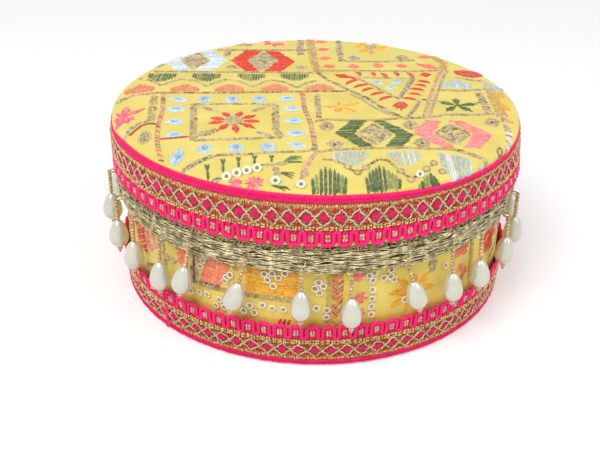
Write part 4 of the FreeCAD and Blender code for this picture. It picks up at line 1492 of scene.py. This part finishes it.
def rosette(hoop, x, y, wide=2.8, high=4.2):
    """Ovals of zari one inside the other, with loose loops over them and a dark middle."""
    for share in (1, 0.76, 0.52):
        spot = (x + random.uniform(-0.2, 0.2), y + random.uniform(-0.2, 0.2))
        hoop.ring("khaki", *spot, wide * share, high * share)
    for k in range(6):
        a = math.pi * k / 3 + random.uniform(-0.3, 0.3)
        size = random.uniform(0.7, 1.1)
        spot = (x + wide * 0.8 * math.cos(a), y + high * 0.8 * math.sin(a))
        hoop.ring("khaki", *spot, size * 1.3, size * 0.7, a * 2)
    hoop.ring("brown", x, y, 0.5, 0.8)


def curls(hoop, x, y, half_wide, half_high):
    """A diamond of chain stitch filled with loose loops."""
    chain(hoop, *diamond(x, y, half_wide, half_high), size=0.6)
    for k in range(34):
        u, v = random.uniform(-0.8, 0.8), random.uniform(-0.8, 0.8)
        spot = (x + half_wide * (u + v) / 2, y + half_high * (u - v) / 2)
        size, colour = random.uniform(0.5, 0.95), "brown" if k % 6 == 0 else "khaki"
        hoop.ring(colour, *spot, size * 1.5, size, random.uniform(0, 3))


def spray(hoop, colours, heart, tips):
    """Single long stitches from a heart to each tip."""
    for tip in tips:
        hoop.stitch(random.choice(colours), heart, tip)


print("line stitches: chain, band, rope, coils, eyelet, rosette, curls and spray")


# %% [markdown]
# ## The lid's embroidery
# The lid is cut from a patchwork panel, so its motifs run off its edge: lozenges, a square with a red
# flower, rows of combs and domes, a triangle with bars round it, small fans, stars and rosettes. They are
# drawn patch by patch, in the lid's own millimetres, with the far side up.

# %% Embroider the lid's lozenges and combs
LID_STITCH_EDGE = 87.8
LID_FOOT = 88.0
LID_HANG = 1.4
GILDED = ("khaki", "khaki", "gold")
PALE_GILT = ("khaki", "gold")
RED_CORD = ("red", "brown")


def lay_on_lid(x, y, lift):
    """A place on the lid's cloth; just past its edge the cloth hangs straight down, and then it ends."""
    radius = math.hypot(x, y)
    past = radius - LID_STITCH_EDGE
    if past > LID_HANG:
        return None
    if past > 0:
        share = LID_STITCH_EDGE / radius
        out = (LID_STITCH_EDGE + 0.1 + lift) / radius
        return x * out, y * out, lid_height(x * share, y * share) - past
    return x, y, lid_height(x, y) + lift


lid = Hoop(lay_on_lid, LID_FLAT - 0.5)
BACK_CHEVRON = ((-9.5, 14.8), (-15.5, 0), (-7.5, -14.6), (-0.5, -14.6), (-7.5, 0), (-1.5, 14.8))
FRONT_CHEVRON = ((-9.5, 13.5), (-16, 0), (-5.5, -13.8), (0, -13.8), (-8.4, 0), (-3, 13.5))
LOZENGES = (
    (("blue", "blue", "white"), -58.5, 51, BACK_CHEVRON, (6.3, 10.8)),
    (("red",), -26, 51.5, BACK_CHEVRON, (7, 12.5)),
    (("green",) * 5 + ("olive",), 24.3, -35, FRONT_CHEVRON, (6.6, 10)),
    (("rose", "rose", "rose", "coral"), 56, -33, FRONT_CHEVRON, (6.8, 10)),
)
for colours, x, y, outline, half in LOZENGES:
    chevrons(lid, colours, x, y, outline)
    if y > 0:
        satin(lid, ("khaki",), diamond(x, y, *half)[:4], 30, 0.6)
    curls(lid, x, y, *half)
for x, top, tip in ((-71.5, 32.3, 20.6), (-51, 33, 21.7), (-30, 33.5, 23), (-10, 34.6, 24)):
    dome(lid, ("green", "olive"), (x - 6.6, top), (x + 6.6, top), (x, tip), 1.15, full=0.6)
    chain(lid, (x - 10, 24.5), (x - 4.5, 22.5), (x + 1.5, 16), (x + 6, 22), (x + 10, 25))
rope(lid, (-76, 34.5), (-40, 35), (-1, 36), wide=1.8, colours=GILDED)
for left, right, top in (((-84.5, 3.8), (-72, 9.5), (-80, 18)), ((-65, 8.8), (-52, 9.4), (-59.5, 19)),
                         ((-45, 9), (-32, 9.6), (-39, 20)), ((-24.7, 10), (-12, 11.5), (-18.8, 21)),
                         ((-5, 11.8), (8.5, 12.5), (2, 22))):
    dome(lid, ("coral",), left, right, top, 1.0, full=0.5)
chain(lid, (-86, -6), (-83, 0), (-79.5, 4.4), (-69, 6.9), size=0.75)
rope(lid, (-69, 6.9), (-39, 8), (-6.6, 10.9), (14, 12.5), wide=1.8, colours=GILDED + ("brown",))
print("lid stitches so far:", lid.count())


# %% Embroider the back of the lid
band(lid, (-50, 67.5), (-4, 69), wide=2.0)
band(lid, (-44, 70), (-44, 58), wide=3.2)
band(lid, (-8, 86), (-8.5, 70), (-7.5, 62), wide=3.5)
band(lid, (-44, 79), (-33, 75), wide=4.5)
band(lid, (-3.5, 87), (-1, 50), (1, 37), wide=4.4, colour="gold")
chain(lid, (-3, 87), (-0.5, 50), (1.5, 37))
for x, y in ((-40, 42), (-7, 43), (-75, 44)):
    rosette(lid, x, y, 1.8, 2.2)
flower(lid, "pink", (-22, 82), ((-26.5, 77), (-16, 76), (-28, 83), (-21, 74)), 1.5, 2.6)
for x, y in ((1.8, 83), (3.2, 71), (4.4, 57), (6, 45.5)):
    leaf(lid, "salmon", (x - 3.5, y - 1), (x + 3.5, y + 1), 4.4)
for x, y in ((18, 46), (29.6, 47.6), (41, 48)):
    leaf(lid, "salmon", (x - 3, y - 0.5), (x + 3, y + 0.5), 5.4, point=1.7)
leaf(lid, "salmon", (48, 52), (59.6, 44.6), 4.5)
leaf(lid, "salmon", (49, 61.5), (58, 63), 4.6)
band(lid, (11.2, 86), (11.3, 70), (12.4, 53.3), wide=3.2)
band(lid, (12.4, 53.3), (29.8, 53.3), (47.3, 57), wide=1.8)
coils(lid, 18.5, 58, 2.6, 3.2)
coils(lid, 42, 60, 3, 3.4)
ORANGE_TIPS = ((18, 77.6), (21.4, 67.5), (27.2, 64.8), (35, 71.3), (36.5, 78), (22, 83), (31, 84))
flower(lid, "orange", (27.5, 76), ORANGE_TIPS, 3, 3.6)
coils(lid, 27.5, 76, 2.6, 3)
print("lid stitches so far:", lid.count())


# %% Embroider the triangle with bars
rope(lid, (1.3, 38.8), (20, 40), (44, 40.7), (58, 42.7), wide=1.8, colours=GILDED)
band(lid, (57.4, 64), (62, 53), (60, 44), wide=4, colour="gold")
rope(lid, (60, 43.7), (57, 34.5), (53, 17.3), (45.8, -15.5), wide=1.8, colours=("coral", "khaki", "khaki"))
chain(lid, (62.5, 43.5), (59.5, 34), (55.5, 17), (48.5, -14))
rope(lid, (-0.5, 38.7), (5.6, 26.6), (14.4, 14.5), (22.8, 4.5), (29, -6.7), (37.8, -18.7), wide=2.2,
     colours=("khaki", "brown", "khaki"))
chain(lid, (15.4, 8.8), (20, 3.5), (25, -6), (33, -16))
chain(lid, (18.4, 30.8), (44, 30.4), (36.6, 4.4), (18.4, 30.8))
rope(lid, (45.7, 30.4), (40.2, 13.3), (36.6, 3.6), wide=1.6)
rope(lid, (46.3, 3.3), (42, -9), (37.8, -18.7))
BARS = (
    *((13.6, 20.6, 19.2, 27.4), (17, 17, 24.3, 21.7), (20.7, 12.4, 26.4, 17.2), (24.2, 7.8, 31, 12)),
    *((27.7, 1.8, 34.6, 7.4), (46.4, 27.5, 52.8, 25.4), (45.2, 22.8, 50.4, 20.2), (42.2, 17.2, 49.2, 15.4)),
    *((41.2, 10.8, 47, 9.4), (38, 5.6, 44.5, 3), (18.4, 38.4, 20.5, 33), (25.5, 38.2, 27.2, 33.2)),
    *((30.2, 38, 32.8, 29.6), (36.4, 39, 38.3, 33.8), (42.6, 39.4, 45, 31), (48.4, 35.4, 54.4, 37)),
)
for x0, y0, x1, y1 in BARS:
    bar(lid, "red", (x0, y0), (x1, y1))
leaf(lid, "red", (48.4, 36), (54.2, 36.8), 5.4)
leaf(lid, "red", (8.5, 34.4), (16, 30), 4.6)
bar(lid, "red", (13.4, 32), (19.2, 26.4))
for tip in ((33.4, -5.2), (34.8, -7.2), (36.8, -9.2), (38.7, -7), (40, -4.4), (35.4, -3.4)):
    bar(lid, "red", (36.8, 1.2), tip, 0.3, 1.0)
for start, end in (((25, 26.2), (31, 22)), ((34.2, 23.5), (41, 28.7)), ((30.5, 17.7), (37, 18.2))):
    leaf(lid, "blue", start, end, 4, "azure")
print("lid stitches so far:", lid.count())


# %% Embroider the lid's right side
dome(lid, ("red",), (65.5, 40.5), (78.5, 38), (71.5, 44.4), 0.8)
dome(lid, ("red",), (65.5, 40.5), (78.5, 38), (72, 34), 0.8, 0.3)
dome(lid, ("steel", "blue"), (57.3, 20), (71, 20.7), (65.2, 30.3), 0.9)
satin(lid, ("steel",), [(76, 21), (84.5, 14.5), (83, 23), (78, 28.7)], 60)
chain(lid, (64.3, 34), (71, 31), (78.2, 28.7))
band(lid, (55.8, 16.6), (64.5, 16.2), (73.7, 18.3), (84.5, 19.7), wide=2.4)
STAR = (61.5, -1.8)
for x, y in ((53.5, 2.1), (71, 0.6), (62, 7), (56, -8.8), (67.2, -8.3)):
    leaf(lid, "green", STAR, (x, y), 2.6, point=0.9)
    barb, tip = between(STAR, (x, y), 0.55), between(STAR, (x, y), 0.8)
    for side in (-0.2, 0.2):
        leaf(lid, "green", barb, (tip[0] + side * (y - STAR[1]), tip[1] - side * (x - STAR[0])), 1.2)
rope(lid, (47, 4), (53.7, 2.9), wide=0.9)
rope(lid, (70.8, 2.2), (75.4, 2.4), wide=0.9)
band(lid, (73.2, 15), (74.2, -9.7), wide=3.6)
band(lid, (79, 18.6), (79.3, -12.4), wide=5.2, colour="gold")
for start, end in (((80.3, 15.4), (84.5, 8.5)), ((79.5, 3), (84.5, -7)), ((79.4, -15), (83, -21))):
    leaf(lid, "orange", start, end, 3.6)
band(lid, (38, -17.5), (45.6, -17), (55.4, -12.9), (66.6, -12.3), (80.7, -9), wide=2.2)
flower(lid, "orange", (10.6, -6), ((2, -7), (9.6, 0), (20, -0.8), (18, -12)), 0.4, 2.0)
leaf(lid, "orange", (11, -6), (8.8, -13.6), 3.4)
band(lid, (0.6, 8), (1.6, -19), wide=2.6)
rope(lid, (0, -23.4), (5.4, -20.4), (13.6, -21.4), (24.5, -20.8), (35, -18.2), wide=2.3, colours=PALE_GILT)
# Painted highlight: the white stitches in this khaki and gold rope stand in for its glints.
rope(lid, (80, -11), (79.4, -26), (78.6, -36), (76.6, -45), wide=3.4, colours=("khaki", "white", "gold"))
print("lid stitches so far:", lid.count())


# %% Embroider the lid's left square
band(lid, (-71, 4), (-68, -28), wide=3.8, pitch=1.5)
rope(lid, (-67.5, 6), (-65, -13), (-64.5, -30), (-62.4, -46), (-60.2, -55.7), (-58, -64), wide=2.4,
     colours=("khaki", "red", "khaki", "orange", "brown"))
rope(lid, (-6, 9.4), (-4.5, -10), (-2, -24), (-0.6, -38), (0.5, -53), wide=2.6,
     colours=("khaki", "brown", "khaki", "gold", "khaki", "coral"))
chain(lid, (-53.7, -6.3), (-17.6, -4.5), size=0.6)
chain(lid, (-48, -44.5), (-13.4, -40.3), size=0.75)
band(lid, (-52.5, -7), (-49.5, -33.7), (-48, -44), wide=3.4, pitch=1.35)
band(lid, (-17.3, -5.3), (-16, -32), (-13.5, -40), wide=3.4, pitch=1.35)
for start, end in (((-49.6, -8.4), (-41.6, -14.7)), ((-19.3, -6), (-26.7, -13.2)),
                   ((-17.7, -39.2), (-23.5, -35)), ((-48.8, -39.5), (-40.5, -33.5))):
    chain(lid, start, end, size=0.8)
    leaf(lid, "khaki", start, end, 2.4)
RED_TIPS = ((-39.5, -14), (-31, -13), (-24.5, -17.5), (-21.5, -24.5), (-24, -32), (-31.5, -36.5),
            (-39.5, -34.5), (-45, -27.5), (-44.6, -21))
flower(lid, "red", (-34, -23.6), RED_TIPS, 3.2, 3.0)
eyelet(lid, -34, -23.6, *((size * 0.95, size * 1.1) for size in (1, 2, 3, 4)))
rope(lid, (-39.2, -33.8), (-43, -38.6), (-50.6, -41), wide=1.6, colours=("khaki", "red", "khaki", "khaki"))
rope(lid, (-51, -41), (-61.5, -43.5), wide=1.4, colours=RED_CORD)
eyelet(lid, -68, -42.2, *((size * 0.5, size * 1.3) for size in (1, 2, 3, 4, 5)))
chain(lid, (-75.8, -43), (-75.3, -34.6), (-72.8, -27.7), (-69, -26), size=0.7)
rope(lid, (-74.3, -40.5), (-71.3, -30.3), (-68.4, -28), (-64.3, -28.6), wide=1.1, colours=RED_CORD)
for tip, wide in (((-81, -8.8), 3.4), ((-72.8, -11.6), 2.6), ((-75, -24), 3.4), ((-84.4, -18), 2.8),
                  ((-83.4, -27), 3.0), ((-81, -34), 3.0), ((-77, -29), 3.2)):
    leaf(lid, "pink", (-80, -20.5), tip, wide, "rose")
leaf(lid, "pink", (-82, -22), (-77.6, -20), 5.4)
for x, y in ((-48.5, 0.1), (-36.5, 0.7), (-24.5, 1.3)):
    leaf(lid, "blue", (x - 0.6, y - 4.6), (x + 0.4, y + 4.4), 6.2, "azure", point=1.8)
for x, y in ((-59.5, -12.2), (-58.2, -26), (-56.8, -39.7), (-10, -9.8), (-9, -23), (-7.8, -36)):
    leaf(lid, "blue", (x - 4.7, y - 0.3), (x + 4.7, y + 0.3), 6.2, "azure")
for x, y in ((-42.9, -51.8), (-30.7, -50.6), (-18.4, -49.4)):
    leaf(lid, "blue", (x + 0.4, y - 5), (x - 0.4, y + 4.8), 6.4, "azure", point=1.8)
for start, end in (((-64.4, 0.8), (-55.2, -3)), ((-17, -0.6), (-8.5, 4.4)), ((-11, -45.8), (-3, -49))):
    leaf(lid, "blue", start, end, 5.4, "azure")
leaf(lid, "blue", (-53, -69.5), (-52, -51), 5.4, "azure")
chain(lid, (-49, -72.6), (-46.2, -66.6), (-42.6, -62.4), (-38.8, -58.8), size=1.0)
rope(lid, (-47.6, -71.6), (-45, -66.4), (-41.6, -62.4), wide=1.2, colours=("khaki", "brown"))
chain(lid, (-40.3, -59), (-35.4, -57.6), (-23.4, -56.4), (-13.4, -54), (-3.3, -53), (0.2, -50.4), size=0.72)
print("lid stitches so far:", lid.count())


# %% Embroider the front of the lid
FORKS = (((-40.6, -65.5), (-38.6, -79)), ((-35, -60.5), (-33.7, -73)), ((-29.2, -59), (-28.3, -68.4)),
         ((-23, -57.6), (-22.6, -65.2)), ((-16.5, -57.3), (-16.2, -63.2)))
for (x, y), foot in FORKS:
    split = between(foot, (x, y), 0.6)
    for end in ((x - 0.75, y), (x + 0.75, y), foot):
        stroke(lid, ("green",), split, end, 0.7)
for x, y in ((-32, -78.2), (-28.5, -75.4), (-25, -72.9), (-21.3, -70.6), (-4.6, -83.2), (-14, -80.8)):
    lid.spangle(x, y, 1.15)
eyelet(lid, -35.6, -78.6, (0.8, 0.8), (1.3, 1.3))
for x, y, size in ((-21.6, -80.5, 1.0), (-28.5, -81.5, 0.7)):
    for k in range(11):
        a = 2 * math.pi * k / 11
        tip = (x + 3.8 * size * math.cos(a), y + 5.4 * size * math.sin(a))
        stroke(lid, ("rose", "salmon", "pink"), (x, y), tip, 1.4)
for x, y, aim in ((-16.6, -65.8, 0.2), (-12.4, -64.6, 0.1), (-14.3, -69.4, 1.4), (-13.6, -73.4, 1.5),
                  (-3.2, -73, 1.3)):
    eyelet(lid, x, y, (1.9, 1.2), (1.3, 0.7), aim=aim)
for start, end in (((-38.2, -79.6), (-33.8, -77.4)), ((-20.3, -66.2), (-18.4, -65.8)),
                   ((-10.6, -63.4), (-4.1, -62.5))):
    lid.stitch("green", start, end)
spray(lid, ("green", "green", "olive"), (-11.6, -62.6),
      ((-8.2, -57), (-6.4, -56.4), (-4.6, -57), (-4.2, -59), (-4.8, -62.2)))
spray(lid, ("green",), (-12.7, -71.8), ((-7, -72.4), (-7.1, -74.8), (-7.6, -77)))
spray(lid, ("green",), (-15.6, -82.6), ((-9, -84), (-8, -85.8), (-10, -86.4)))
rope(lid, (0.4, -54.4), (-2, -62.6), (-3.9, -70.7), (-4.7, -79.5), colours=("rose", "khaki", "khaki"))
for x, y in ((4.8, -28), (7.9, -46.3), (39.5, -25), (42.7, -42.8), (74, -20)):
    rosette(lid, x, y)
for size in (0.5, 0.75, 1):
    lid.ring("brown" if size < 0.6 else "khaki", 72.7, -48, 1.6 * size, 4.2 * size, -0.2)
lid.stitch("brown", (71.9, -52), (71, -56))
rope(lid, (0.2, -54), (6.8, -51.4), (20.7, -49), (36.2, -47.7), (51.5, -48), (56.5, -48.8), wide=2.3,
     colours=PALE_GILT)
rope(lid, (56.5, -48.8), (61.2, -52.1), (65.1, -56.8), (67, -59), wide=3.2,
     colours=("khaki", "gold", "khaki", "brown"))
leaf(lid, "steel", (63.2, -59.4), (64.6, -62), 2.4)
# Painted highlight: the white strokes among the steel ones stand in for the glints on the blue-grey domes.
STEELS = ("steel", "steel", "steel", "blue", "steel", "white")
dome(lid, STEELS, (6.8, -52.8), (20.6, -51.4), (14.6, -65.3), 1.1, full=0.3)
dome(lid, STEELS, (28, -51.2), (41, -50.2), (35.1, -64.4), 1.1, full=0.3)
dome(lid, STEELS, (47.7, -50.4), (59.6, -55.5), (54.5, -75), 1.1, 0.85, 0.3)
for x, y in ((12.6, -66), (16.2, -70.7), (19.5, -66.2), (32.4, -68.5), (35.7, -75.6), (42.3, -66.3),
             (45.6, -61), (47.8, -68.4)):
    eyelet(lid, x, y, (1.4, 2.2), (0.9, 1.5))
lid.spangle(39.2, -73, 1.0)
for line in (((3.3, -60), (7.3, -60.4), (11.7, -64.3)), ((13.5, -68), (15, -69.5)),
             ((17.4, -69.6), (18.6, -67.8)),
             ((20.3, -64.5), (22.7, -61.4), (24.8, -59), (28.2, -60), (31.5, -66.5)),
             ((33.3, -70.5), (34.8, -73.4)), ((36.8, -74), (38.4, -72.5)), ((40, -69.5), (41.6, -68)),
             ((43.2, -64.5), (44.8, -63))):
    rope(lid, *line, wide=1.3)
FRONT_COMBS = (
    ((-0.6, -76), (0.8, -72.7), (2.5, -68.1), (4.2, -65.8), (6, -66.8), (7.7, -68.5), (9.1, -70.7),
     (10.5, -72.3), (11.8, -74.4)),
    ((19.2, -74.1), (20.6, -69.6), (21.9, -67.2), (23.2, -66), (24.5, -63.7), (26.2, -64.8), (27.8, -67),
     (29.2, -69.2), (30.5, -71.4), (31.7, -74.6)),
    ((38.6, -78), (39.7, -76.4), (40.9, -73.9), (42.1, -71), (43.4, -69), (44.4, -71.6), (45.3, -73.8),
     (46.2, -74.6)),
)
for tips in FRONT_COMBS:
    middle = sum(x for x, _ in tips) / len(tips)
    for x, y in tips:
        foot_x = middle + (x - middle) * 0.9
        edge = LID_FOOT + max(0, x - 30) * 0.06
        foot = (foot_x, -math.sqrt(edge ** 2 - foot_x ** 2))
        stroke(lid, ("green", "green", "green", "olive"), foot, (x, y), 1.2)
print("lid stitches:", lid.count())


# %% [markdown]
# ## The base's embroidery
# The photograph shows about a third of the wall: satin blocks, a zari band, flowers and many sewn sequins.
# The same work is carried on round the unseen back, so that the wall is dressed from every side. Places on
# the wall are degrees from the front and heights, turned into millimetres along the cloth.

# %% Embroider the base
DEGREE = math.radians(1) * WALL_SIDE
SEWN_LOW = 14
SEWN_HIGH = 46
DROP_CLEARANCE = 2.8


def lay_on_wall(along, high, lift):
    """A place on the base's cloth between the lace and the braid."""
    if not SEWN_LOW < high < SEWN_HIGH:
        return None
    turn = along / WALL_SIDE
    radius = wall_radius(turn, high) + lift
    return radius * math.sin(turn), -radius * math.cos(turn), high


wall = Hoop(lay_on_wall)
SEQUIN_PLACES = (
    *((-30.3, 40), (-31.2, 37), (-29.5, 42.5), (-23, 35.4), (-22, 37), (-23.5, 33.8), (-10.3, 41)),
    *((-12.4, 40.4), (-11.5, 38), (-8.6, 39.3), (-10, 35.4), (-7, 41.6), (-31.8, 24.6), (-29.2, 25)),
    *((-34.8, 23.5), (-25.4, 24.3), (-26.5, 21), (-24, 21.3), (-16.4, 25), (-18.2, 22), (-15.2, 22)),
    *((-13, 26), (-10.3, 25.2), (-7.3, 25.2), (1.7, 38.2), (0.8, 35.4), (3, 36.6), (2, 33.5)),
    *((1.3, 26.6), (4, 25.7), (4, 22.4), (16, 37.7), (16, 33.5), (16, 29.3), (16, 25.7), (16, 22)),
    *((16.2, 41), (15, 40), (19, 38.2), (21, 38.2), (22, 36.6), (21, 41.3), (25.6, 26), (38.6, 36)),
    *((54, 25), (56, 27)),
)


def brushed(degrees):
    """True where a drop that swings in would brush a sequin."""
    return any(abs((degrees - drop_turn(k) + 180) % 360 - 180) <= DROP_CLEARANCE for k in range(DROPS))


def work_third(third):
    """The work of one third of the wall, in degrees from that third's middle."""
    def at(degrees, high):
        return (third + degrees) * DEGREE, high

    def block(colours, corners, *how):
        satin(wall, colours, [at(*corner) for corner in corners], *how)

    block(("coral", "coral", "salmon", "coral"), ((-28.8, 43.5), (-21, 43.5), (-24.6, 31), (-32, 30.2)),
          2, 0.55)
    block(("magenta",), ((-25.4, 43.6), (-21.4, 43.6), (-22.4, 41), (-25, 41.4)), 0, 0.6)
    rope(wall, at(-33, 29), at(-25.4, 29.9), wide=2.2, colours=("magenta", "brown", "khaki"))
    block(("coral",), ((-40.5, 42), (-36.6, 42), (-36.3, 34), (-39.5, 33.8)), 10, 0.6, 1.2)
    rope(wall, at(-36.4, 41), at(-36.2, 34), wide=1.4, colours=("red",))
    for degrees, colour in ((-34.2, "khaki"), (-33.3, "brown"), (-32.4, "khaki")):
        chain(wall, at(degrees, 43.5), at(degrees - 0.4, 28), colour=colour, size=0.8)
    band(wall, at(-46.2, 42.5), at(-45.2, 30), wide=3)
    block(("orange",) * 6 + ("gold",), ((-17.9, 43), (-3.4, 43), (-3.2, 31.2), (-17.7, 31.2)), 1, 0.55, 0.9)
    rope(wall, at(-33, 28), at(-22, 29.3), at(-17, 29.5), at(-4.7, 29.5), wide=3.0, colours=PALE_GILT)
    block(("gold",), ((-21.6, 42), (-19.4, 42), (-19.6, 39.3), (-21.2, 39.3)), 0)
    band(wall, at(4.6, 42), at(4.4, 20), wide=2.2, colour="gold", pitch=1.1)
    for k in range(60):
        for side in (-1, 1):
            colour = random.choice(("red", "coral", "orange", "brown", "gold", "gold", "khaki"))
            tip = at(6.8 + side * random.uniform(1.1, 1.7), 20.2 + 0.4 * k)
            wall.stitch(colour, at(6.8 - side * 0.3, 18 + 0.4 * k), tip)
    for degrees, high in ((10.2, 40.4), (10.8, 30), (10.6, 22.6)):
        tips = [at(degrees + more, high + rise) for more, rise in ((3.6, 2.6), (4.2, 0), (3.2, -2.4))]
        flower(wall, "salmon", at(degrees, high), tips, 0.6, 2.4)
        leaf(wall, "pink", at(degrees, high - 0.6), at(degrees + 2, high + 0.6), 1.4, over=0.2)
    tips = ((22.6, 36.8), (20.3, 30), (20.7, 23), (25.8, 19), (28.4, 37.2), (33.9, 35.7), (35.4, 28),
            (32, 21))
    flower(wall, "orange", at(28.6, 30), [at(*tip) for tip in tips], 1.6, 3.2)
    coils(wall, *at(34.2, 38.5), 1.8, 3.2)
    block(("pink", "coral"), ((41, 40.6), (48.4, 40.6), (47.8, 36.6), (42, 36.8)), 4, 0.55, 0.6)
    for degrees, high in ((46, 25), (47.4, 28), (45.4, 31)):
        leaf(wall, "coral", at(degrees - 1.6, high - 1.6), at(degrees + 1.6, high + 1.6), 3.2)
    band(wall, at(50, 42.5), at(51, 20), wide=3.4, colour="gold")
    block(("red", "red", "red", "orange"), ((56.5, 38.4), (64, 39.6), (65.4, 28.6), (59.5, 27)),
          30, 0.42, 0.8)
    for degrees in (-8.6, -7.4, -6.2, 9.6, 10.8):
        stroke(wall, ("magenta",), at(degrees, 18), at(degrees + 0.6, 20.6), 0.9)
    for degrees, high in ((-43.9, 33.8), (-41.2, 34)):
        eyelet(wall, *at(degrees, high), (1.3, 1.3), (0.7, 0.7))
    tips = ((-55.5, 39), (-50, 40.5), (-48.4, 35.5), (-52, 31), (-55.5, 33))
    flower(wall, "rose", at(-52, 36), [at(*tip) for tip in tips], 1.2, 3)
    band(wall, at(-56, 22), at(-47.5, 27), wide=2)
    for degrees, high in SEQUIN_PLACES:
        if third == 0 or not brushed(third + degrees):
            wall.spangle(*at(degrees, high))


for third in (0, 120, 240):
    work_third(third)
print("wall stitches:", wall.count(), "sequins:", len(wall.sequins))


# %% [markdown]
# ## Winding the floss and sewing the sequins
# Each colour's lines become one mesh for each half of the box. Sequins are small flat rings: a tree sets
# one on each point, faces it along an attribute that holds its way out, and tips it a little by a fixed
# seed. Those on the lid lean on one another towards the front, as sequins sewn in a row do.

# %% Make the stitches and the sequins
SPANGLES, start, end = geometry_tree("Sequins on points", [
    ("Ring Radius", VALUE, 0.0012), ("Band Width", VALUE, 0.00066), ("Thickness", VALUE, 0.0002),
    ("Tip", VALUE, 0.16), ("Seed", INTEGER, 5), ("Material", MATERIAL, None)])
hoop = add(SPANGLES, "GeometryNodeCurvePrimitiveCircle",
           {"Resolution": 14, "Radius": start.outputs["Ring Radius"]})
flat_section = add(SPANGLES, "GeometryNodeCurvePrimitiveQuadrilateral",
                   {"Width": start.outputs["Band Width"], "Height": start.outputs["Thickness"]})
disc = add(SPANGLES, "GeometryNodeCurveToMesh",
           {"Curve": hoop.outputs[0], "Profile Curve": flat_section.outputs[0]})
way_out = add(SPANGLES, "GeometryNodeInputNamedAttribute", {"Name": "way_out"}, data_type="FLOAT_VECTOR")
size = add(SPANGLES, "GeometryNodeInputNamedAttribute", {"Name": "size"}, data_type="FLOAT")
low_tip = calc(SPANGLES, "MULTIPLY", start.outputs["Tip"], -1.0)
tip = add(SPANGLES, "FunctionNodeRandomValue", data_type="FLOAT_VECTOR", inputs={
    0: low_tip, 1: start.outputs["Tip"], "Seed": start.outputs["Seed"]})
tipped = add(SPANGLES, "ShaderNodeVectorMath", {0: way_out.outputs[0], 1: tip.outputs[0]}, operation="ADD")
faced = add(SPANGLES, "FunctionNodeAlignRotationToVector", {"Vector": tipped.outputs[0]}, axis="Z")
set_on = add(SPANGLES, "GeometryNodeInstanceOnPoints", {
    "Points": start.outputs["Geometry"], "Instance": disc.outputs[0], "Rotation": faced.outputs[0],
    "Scale": size.outputs[0]})
end_tree(SPANGLES, set_on.outputs[0], start.outputs["Material"], end)


def sewn_sequins(work, body, lift, lean, ring, band_width, knot):
    """The sequins of one surface and their knots, lifted off it and leaning from its way out."""
    name = f"{body}_sequins"
    points, ways = [], []
    for x, y, _ in work.sequins:
        low, high = (Vector(work.lay(x, y, off)) for off in (lift, lift + 1))
        points.append(low * MM)
        ways.extend(high - low + Vector(lean))
    mesh = bpy.data.meshes.new(name)
    mesh.from_pydata(points, [], [])
    sizes = [size for _, _, size in work.sequins]
    mesh.attributes.new("way_out", "FLOAT_VECTOR", "POINT").data.foreach_set("vector", ways)
    mesh.attributes.new("size", "FLOAT", "POINT").data.foreach_set("value", sizes)
    sequins, knots = linked(name, mesh), linked(f"{name}_knots", mesh.copy())
    grown(sequins, SPANGLES, Ring_Radius=ring, Band_Width=band_width, Material=SEQUIN)
    grown(knots, SPANGLES, Material=FLOSS[knot], **KNOT_SIZES)
    for part in (sequins, knots):
        settle(part, body, "embroidered_cloth")


FINE = ("khaki", "gold", "brown")
FINE_THREAD = 0.00027
FULL_THREAD = 0.0003
KNOT_SIZES = {"Ring_Radius": 0.00025, "Band_Width": 0.00048, "Thickness": 0.00045}
for work, body in ((lid, "lid"), (wall, "base")):
    for colour, paths in work.paths.items():
        if paths:
            floss = wire(f"{body}_floss_{colour}", paths)
            thick = FINE_THREAD if colour in FINE else FULL_THREAD
            grown(floss, THREAD, Thread_Radius=thick, Material=FLOSS[colour])
            settle(floss, body, "embroidered_cloth")
sewn_sequins(lid, "lid", 1.2, (0, -0.8, 0), ring=0.00116, band_width=0.0009, knot="olive")
sewn_sequins(wall, "base", 0.65, (0, 0, 0), ring=0.0012, band_width=0.00066, knot="gold")


# %% [markdown]
# ## Card and paper
# The boards, the rolled card rings and the sole keep their CAD shapes, which are right as they are. They
# only need a finish: pressed grey fibre for the card and matt paper underneath.

# %% Finish the card and end
for node_name in ("lid_board", "lid_rim", "base_floor", "base_wall", "base_sole"):
    board = bpy.data.objects[node_name].data
    board.materials.clear()
    board.materials.append(PAPER if node_name == "base_sole" else CARD)
